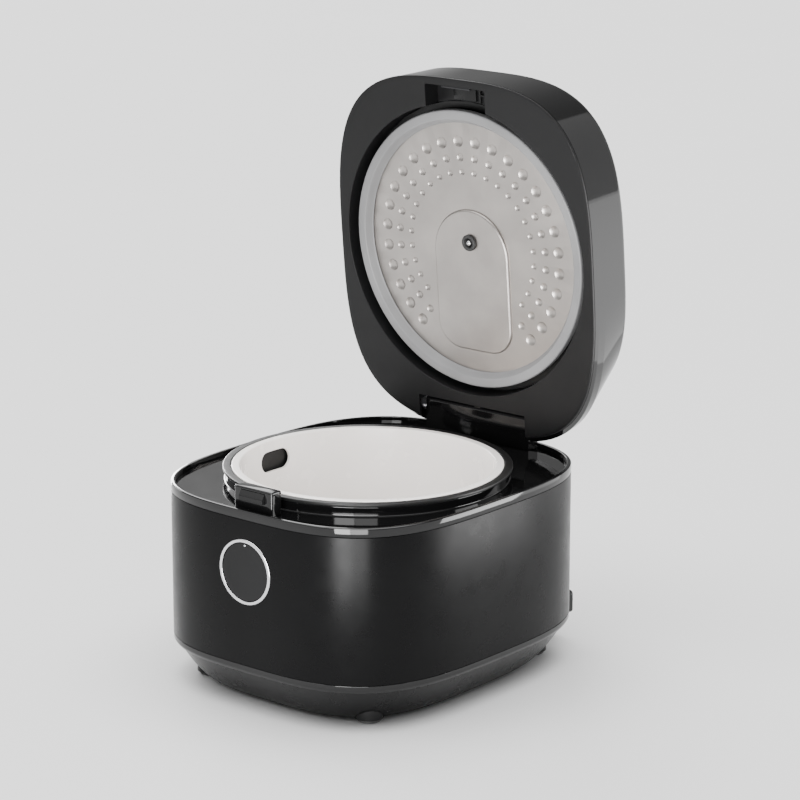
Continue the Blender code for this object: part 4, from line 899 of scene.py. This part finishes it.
def make_lid_shell():
    """The lid's gloss skin: leaning sides, a sloped rear and a rounded top with the vent's hole."""
    levels = [SEAM_Z + GAP, HEEL_TOP - 0.0006, HEEL_TOP, HEEL_TOP + 0.0006]
    levels += [SLOPE_LOW - 0.001, SLOPE_LOW, SLOPE_LOW + 0.001]
    levels += [SLOPE_LOW + (LID_SHOULDER - SLOPE_LOW) * i / 6 for i in range(1, 7)]
    outer = [(draft(z), z) for z in levels]
    for i in range(1, 13):
        angle = math.pi / 2 * i / 12
        inset = draft(LID_SHOULDER) + LID_ROUND * (1 - math.cos(angle))
        outer.append((inset, LID_SHOULDER + LID_ROUND * math.sin(angle)))
    inner = [(draft(z) + LID_WALL, z) for z in levels]
    inner.append((draft(LID_SHOULDER) + LID_WALL + LID_ROUND, LID_TOP - LID_WALL))
    rings = [outline(i + SKIN_INSET, z, rear_inset(z)) for i, z in reversed(outer)]
    rings += [outline(i, z, rear_inset(z)) for i, z in inner]
    cap_low, cap_high = seat_box("vent_cap", LID_SEAT)
    vent = ((cap_low.x + cap_high.x) / 2, (cap_low.y + cap_high.y) / 2)
    hole = rod(cap_high.x + 0.0004, LID_TOP - 0.01, LID_TOP + 0.01, vent)
    piece(
        "lid_skin", loft(rings, closed=False), "lid", "lid_outer_shell", LOOKS["gloss_black"],
        LID_SEAT, cuts=[notch(), hole],
    )
    make_vent_cap(cap_low, cap_high, vent)


def make_vent_cap(low, high, vent):
    """The round cap on the lid, with a skirt under it and two slots through it."""
    radius, top = high.x, high.z
    skirt = 0.0123
    profile = fillet([
        (0.0, top, 0.0), (radius - 0.004, top, 0.0), (radius, top, 0.0009),
        (radius, top - 0.0033, 0.0003), (skirt, top - 0.0033, 0.0003), (skirt, low.z, 0.0003),
        (skirt - 0.0016, low.z, 0.0003), (skirt - 0.0016, top - 0.0028, 0.0003),
        (0.0, top - 0.0028, 0.0),
    ], closed=False)
    form = moved(turned(profile, 96, closed=False), (*vent, 0.0))
    slots = [
        extruded(
            stadium(0.015, 0.0024, (vent[0], vent[1] + step)), top - 0.01, top + 0.01, axis="Z"
        )
        for step in (-0.0045, 0.0045)
    ]
    piece(
        "vent_lid", form, "vent_cap", "vent_cap", LOOKS["gloss_black"], LID_SEAT, cuts=slots
    )


def make_lid_frame():
    """The lid's dark underside: a flat face round the well, with the latch's recess."""
    well = (0.0, WELL_Y)
    plan = fillet([
        (0.0033, SEAM_Z, 0.0), (0.0, SEAM_Z, 0.0004), (0.0, LID_LOW, 0.0008),
        (0.004, LID_LOW, 0.0),
    ], closed=False)
    rings = [outline(inset, z, rear_inset(z)) for inset, z in plan]
    edge = fillet([
        (WELL_RADIUS + 0.002, LID_LOW, 0.0), (WELL_RADIUS, LID_LOW, 0.0007),
        (WELL_RADIUS, FRAME_HIGH.z, 0.0), (WELL_RADIUS + 0.0016, FRAME_HIGH.z, 0.0),
        (WELL_RADIUS + 0.0016, SEAM_Z, 0.0),
    ], closed=False)
    rings += [circle(radius, z, well) for radius, z in edge]
    trough = block(
        (-NOTCH_HALF - 0.002, NOTCH_FRONT - 0.0025, LID_LOW + 0.0008),
        (NOTCH_HALF + 0.002, HINGE.y - MIDDLE_Y - 0.0095, NOTCH_TOP + 0.002), 0.0,
    )
    pocket = block(
        (-RECESS_HALF - 0.002, RECESS_FRONT - 0.002, LID_LOW + 0.0008),
        (RECESS_HALF + 0.002, WELL_Y - WELL_RADIUS * 0.9, RECESS_TOP + 0.0018), 0.0,
    )
    recess = block(
        (-RECESS_HALF, RECESS_FRONT, LID_LOW - 0.01),
        (RECESS_HALF, WELL_Y - WELL_RADIUS * 0.85, RECESS_TOP), 0.0012, 3,
        edges=lambda e: along(e, 2),
    )
    hollow = rod(WELL_RADIUS, LID_LOW - 0.01, FRAME_HIGH.z + 0.01, well, 192)
    piece(
        "lid_underside", loft(rings), "lid", "lid_frame", LOOKS["matte_dark_grey"], LID_SEAT,
        cuts=[recess, hollow, notch(), pin_hole()], joins=[trough, pocket],
    )


def make_recess_ribs():
    """Low ribs on the ceiling of the latch recess, clear of the latch when the lid is closed."""
    low, high = RECESS_TOP - 0.0022, RECESS_TOP - 0.0001
    front, rear = RECESS_FRONT + 0.0022, RECESS_FRONT + 0.0152
    pads = (  # left, front, right and rear of each rib
        (-0.0125, front, 0.0105, rear - 0.001), (0.0140, front, 0.0152, rear),
        (0.0140, front + 0.0055, 0.0215, front + 0.0068), (0.0203, front, 0.0215, rear - 0.003),
        (0.0240, front + 0.003, 0.0285, rear - 0.0045),
    )
    form = merged(*(block((a, b, low), (c, d, high), 0.0003, 2) for a, b, c, d in pads))
    piece("recess_ribs", form, "lid", "lid_frame", LOOKS["dark_plastic"], LID_SEAT)


def make_catch():
    """The striker plate, with a window for the latch's tongue."""
    low, high = CATCH_BOX
    bolt_low, bolt_high = seat_box("latch_bolt", BODY_SEAT)
    plate = block(low, high, 0.0004, 3)
    window = block(
        (bolt_low.x - 0.0006, low.y - 0.01, bolt_low.z - 0.0006),
        (bolt_high.x + 0.0006, high.y + 0.01, bolt_high.z + 0.0006), 0.0012, 3,
        edges=lambda e: along(e, 1),
    )
    piece(
        "striker_plate", plate, "lid", "latch_catch", LOOKS["dark_steel"], LID_SEAT,
        cuts=[window],
    )


# ---- Inner lid ----

PLATE_DROP = 0.0023  # from the plate's face down to the raised panel's
PLATE_THICKNESS = 0.0019
PLATE_CREASE = 12
# each ring of dimples: the ring's radius, a dimple's radius and its depth
DIMPLE_RINGS = ((0.0890, 0.0049, 0.0013), (0.0755, 0.0034, 0.0010), (0.0635, 0.0026, 0.0008))
DIMPLE_COUNT = 32
PANEL_RADIUS = 0.038
PANEL_REACH = 0.087
PANEL_SHIFT = 0.0055
PANEL_EDGE = 0.0020
GASKET_WIDTH = 0.0118


def dimple_tools(face):
    """Lens shapes that each leave a shallow dish in the plate's lower face."""
    lenses = []
    for ring, radius, depth in DIMPLE_RINGS:
        ball = (radius ** 2 + depth ** 2) / (2 * depth)
        reach = math.asin(radius / ball) * 1.25
        arc = [(ball * math.sin(reach * i / 8), ball * math.cos(reach * i / 8)) for i in range(9)]
        profile = [(r, z - ball + depth) for r, z in arc] + [(0.0, arc[-1][1] - ball + depth)]
        for i in range(DIMPLE_COUNT):
            angle = 2 * math.pi * (i + 0.5) / DIMPLE_COUNT
            spot = (ring * math.cos(angle), WELL_Y + ring * math.sin(angle), face)
            if not under_panel(spot, radius):
                lenses.append(moved(turned(profile, 24, closed=False), spot))
    return merged(*lenses)


def under_panel(spot, margin):
    """Whether a dimple would run under the raised panel."""
    reach = PANEL_RADIUS + margin
    return abs(spot[0]) < reach and 0.0 < spot[1] - WELL_Y < PANEL_REACH + margin


def raised_panel(low, high):
    """The panel on the inner lid: round towards the front, with square-set round corners."""
    radius = PANEL_RADIUS
    end = WELL_Y + PANEL_REACH
    corner = radius * 0.6
    points = [
        (radius * math.cos(math.pi + math.pi * i / 48),
         WELL_Y + PANEL_SHIFT + radius * math.sin(math.pi + math.pi * i / 48))
        for i in range(49)
    ]
    for side, first in ((1, 0.0), (-1, math.pi / 2)):
        for i in range(13):
            angle = first + math.pi / 2 * i / 12
            across = side * (radius - corner) + corner * math.cos(angle)
            points.append((across, end - corner + corner * math.sin(angle)))
    form = extruded(points, high, low, axis="Z")
    rim = [e for e in form.edges if all(abs(v.co.z - low) < 1e-6 for v in e.verts)]
    bmesh.ops.bevel(form, geom=rim, offset=PANEL_EDGE, segments=6, profile=0.5, affect="EDGES")
    return form


def make_inner_lid():
    """The dimpled plate with its raised panel, and the valve and the gasket in and round it."""
    low, high = PLATE_BOX
    radius = high.x
    face = low.z + PLATE_DROP
    back = face + PLATE_THICKNESS
    profile = fillet([
        (0.0, back, 0.0), (radius, back, 0.0002), (radius, face, 0.0002), (0.0, face, 0.0),
    ], closed=False)
    plate = moved(turned(profile, 192, closed=False), (0.0, WELL_Y, 0.0))
    valve_low, valve_high = seat_box("steam_valve", LID_SEAT)
    valve_y = (valve_low.y + valve_high.y) / 2
    hole = rod(valve_high.x * 0.6 + GAP, low.z - 0.01, high.z + 0.01, (0.0, valve_y), 64)
    island = raised_panel(low.z, face + 0.0006)
    piece(
        "inner_lid_face", plate, "inner_lid", "inner_lid_plate", LOOKS["stainless_steel"],
        LID_SEAT, cuts=[dimple_tools(face), hole], joins=[island], crease=PLATE_CREASE,
    )
    make_valve(valve_low, valve_high, valve_y, low.z)
    make_gasket()


def make_valve(low, high, middle, panel):
    """The rubber valve in the panel, with its steel ball."""
    radius = high.x
    neck = radius * 0.6
    profile = fillet([
        (neck, high.z, 0.0002), (neck, panel - GAP, 0.0002), (radius, panel - GAP, 0.0004),
        (radius, low.z, 0.0011), (0.0044, low.z, 0.0008), (0.0030, low.z + 0.0032, 0.0006),
        (0.0024, high.z, 0.0002),
    ], steps=5)
    form = moved(turned(profile, 96), (0.0, middle, 0.0))
    piece("valve_seat", form, "inner_lid", "steam_valve", LOOKS["black_rubber"], LID_SEAT)
    ball_low, ball_high = seat_box("valve_ball", LID_SEAT)
    ball = bmesh.new()
    bmesh.ops.create_icosphere(ball, subdivisions=4, radius=(ball_high.x - ball_low.x) / 2)
    moved(ball, (ball_low + ball_high) / 2)
    piece("valve_bead", ball, "inner_lid", "valve_ball", LOOKS["bead_steel"], LID_SEAT)


def make_gasket():
    """The soft ring round the inner lid."""
    low, high = GASKET_BOX
    outer, inner = high.x, high.x - GASKET_WIDTH
    profile = fillet([
        (outer, high.z, 0.0008), (outer, low.z, 0.0018), (inner + 0.0042, low.z, 0.0016),
        (inner + 0.0012, high.z - 0.0012, 0.0008), (inner, high.z, 0.0004),
    ], steps=6)
    form = moved(turned(profile, 192), (0.0, WELL_Y, 0.0))
    piece("lid_seal", form, "inner_lid", "inner_lid_gasket", LOOKS["grey_silicone"], LID_SEAT)


# ---- Stage, lights and camera ----


def make_stage():
    """A plain pale floor."""
    bpy.ops.mesh.primitive_plane_add(size=14.0, location=(0.0, 0.0, 0.0))
    floor = bpy.context.active_object
    floor.name = "floor"
    look = Look("pale_floor", (0.86, 0.86, 0.86), 0.65)
    look.mottle(look.noise(0.4), (0.85, 0.85, 0.85))
    floor.data.materials.append(look.material)


# Upright soft lights: name, azimuth in degrees, distance, low edge, high edge, width and power.
# An azimuth of 0 is in front of the cooker, and it grows towards +X.
CARDS = (
    ("corner_card", 23.0, 0.62, 0.0, 0.45, 0.16, 7.0),
    ("side_card", 39.0, 0.62, 0.0, 0.45, 0.18, 3.6),
    ("right_card", 122.0, 0.62, 0.0, 0.45, 0.26, 5.0),
    ("lid_card", 147.0, 0.75, 0.0, 0.36, 0.34, 0.6),
    ("left_card", -112.0, 0.62, 0.0, 0.40, 0.16, 6.0),
)


def make_card(name, azimuth, distance, low, high, width, power, lit):
    """A soft light that faces the cooker and shines only on what is in the collection lit."""
    turn = math.radians(azimuth)
    way = Vector((math.sin(turn), -math.cos(turn), 0.0))
    data = bpy.data.lights.new(name, "AREA")
    data.shape = "RECTANGLE"
    data.size, data.size_y = width, high - low
    data.energy = power
    light = bpy.data.objects.new(name, data)
    bpy.context.scene.collection.objects.link(light)
    light.location = way * distance + Vector((0.0, MIDDLE_Y, (low + high) / 2))
    light.rotation_euler = (-way).to_track_quat("-Z", "Y").to_euler()
    light.visible_camera = False
    light.light_linking.receiver_collection = lit


DEGREES = math.degrees(1.0)


def sky_window(tree, place, azimuth, height, half_width, half_height, soft):
    """A value that is 1 inside a window of the sky and 0 outside it. All are in degrees."""
    def step(value, edge, way):
        spread = tree.nodes.new("ShaderNodeMapRange")
        spread.inputs["From Min"].default_value = edge - soft * way
        spread.inputs["From Max"].default_value = edge + soft * way
        tree.links.new(value, spread.inputs["Value"])
        return spread.outputs["Result"]

    def maths(kind, *values):
        node = tree.nodes.new("ShaderNodeMath")
        node.operation = kind
        for socket, value in zip(node.inputs, values):
            if isinstance(value, float):
                socket.default_value = value
            else:
                tree.links.new(value, socket)
        return node.outputs[0]

    turned_place = tree.nodes.new("ShaderNodeVectorRotate")
    turned_place.rotation_type = "Z_AXIS"
    turned_place.inputs["Angle"].default_value = -math.radians(azimuth)
    tree.links.new(place, turned_place.inputs["Vector"])
    parts = tree.nodes.new("ShaderNodeSeparateXYZ")
    tree.links.new(turned_place.outputs["Vector"], parts.inputs["Vector"])
    across, ahead, up = parts.outputs
    side = maths("MULTIPLY", maths("ARCTAN2", across, maths("MULTIPLY", ahead, -1.0)), DEGREES)
    rise = maths("MULTIPLY", maths("ARCSINE", up), DEGREES)
    inside = [
        step(side, -half_width, 1), step(side, half_width, -1),
        step(rise, height - half_height, 1), step(rise, height + half_height, -1),
    ]
    whole = inside[0]
    for other in inside[1:]:
        whole = maths("MULTIPLY", whole, other)
    return whole


SKY_BASE = 0.34
# azimuth, height, half width, half height and soft edge, in degrees, then strength
SKY_WINDOWS = (
    (-117.0, 30.0, 23.0, 12.0, 0.8, 4.5),
    (-117.0, 6.0, 23.0, 12.0, 0.8, 0.3),
    (150.0, 16.0, 22.0, 27.0, 0.8, 0.75),
    (0.0, 80.0, 180.0, 24.0, 6.0, 5.2),
    (-45.0, 38.0, 24.0, 16.0, 3.0, 1.6),
)


def make_sky():
    """An even studio sky with a few bright windows in it, for the reflections."""
    world = bpy.data.worlds.new("studio")
    bpy.context.scene.world = world
    world.use_nodes = True
    tree = world.node_tree
    place = tree.nodes.new("ShaderNodeTexCoord").outputs["Generated"]
    total = None
    for azimuth, height, half_width, half_height, soft, strength in SKY_WINDOWS:
        window = sky_window(tree, place, azimuth, height, half_width, half_height, soft)
        add = tree.nodes.new("ShaderNodeMath")
        add.operation = "MULTIPLY_ADD"
        tree.links.new(window, add.inputs[0])
        add.inputs[1].default_value = strength
        if total is None:
            add.inputs[2].default_value = SKY_BASE
        else:
            tree.links.new(total, add.inputs[2])
        total = add.outputs[0]
    background = tree.nodes["Background"]
    background.inputs["Color"].default_value = (1.0, 1.0, 1.0, 1.0)
    tree.links.new(total, background.inputs["Strength"])


def make_lights():
    """The sky, and the cards that light the cooker and not the floor."""
    make_sky()
    cooker = bpy.data.collections.new("cooker")
    for obj in bpy.context.scene.objects:
        if obj.type == "MESH" and obj.name != "floor":
            cooker.objects.link(obj)
    for spot in CARDS:
        make_card(*spot, cooker)


CAMERA_TARGET = Vector((0.0249, 0.0037 + MIDDLE_Y, 0.2225))
CAMERA_TURN = math.radians(40.106)
CAMERA_RISE = math.radians(14.892)
CAMERA_DISTANCE = 2.4753
CAMERA_LENS = 141.8


def make_camera():
    """A long lens that looks down at the cooker from its front right."""
    data = bpy.data.cameras.new("camera")
    data.lens = CAMERA_LENS
    data.sensor_width = 36.0
    camera = bpy.data.objects.new("camera", data)
    bpy.context.scene.collection.objects.link(camera)
    way = Vector((
        math.cos(CAMERA_RISE) * math.sin(CAMERA_TURN),
        -math.cos(CAMERA_RISE) * math.cos(CAMERA_TURN),
        math.sin(CAMERA_RISE),
    ))
    camera.location = CAMERA_TARGET + way * CAMERA_DISTANCE
    camera.rotation_euler = (-way).to_track_quat("-Z", "Y").to_euler()
    bpy.context.scene.camera = camera


# ---- The whole cooker ----

dress_frame()
make_shell()
make_bands()
make_base()
make_deck()
make_pot()
make_basket()
make_button()
make_latch()
make_hinge()
make_inlet()
make_lid_shell()
make_lid_frame()
make_recess_ribs()
make_catch()
make_inner_lid()
make_stage()
make_lights()
make_camera()
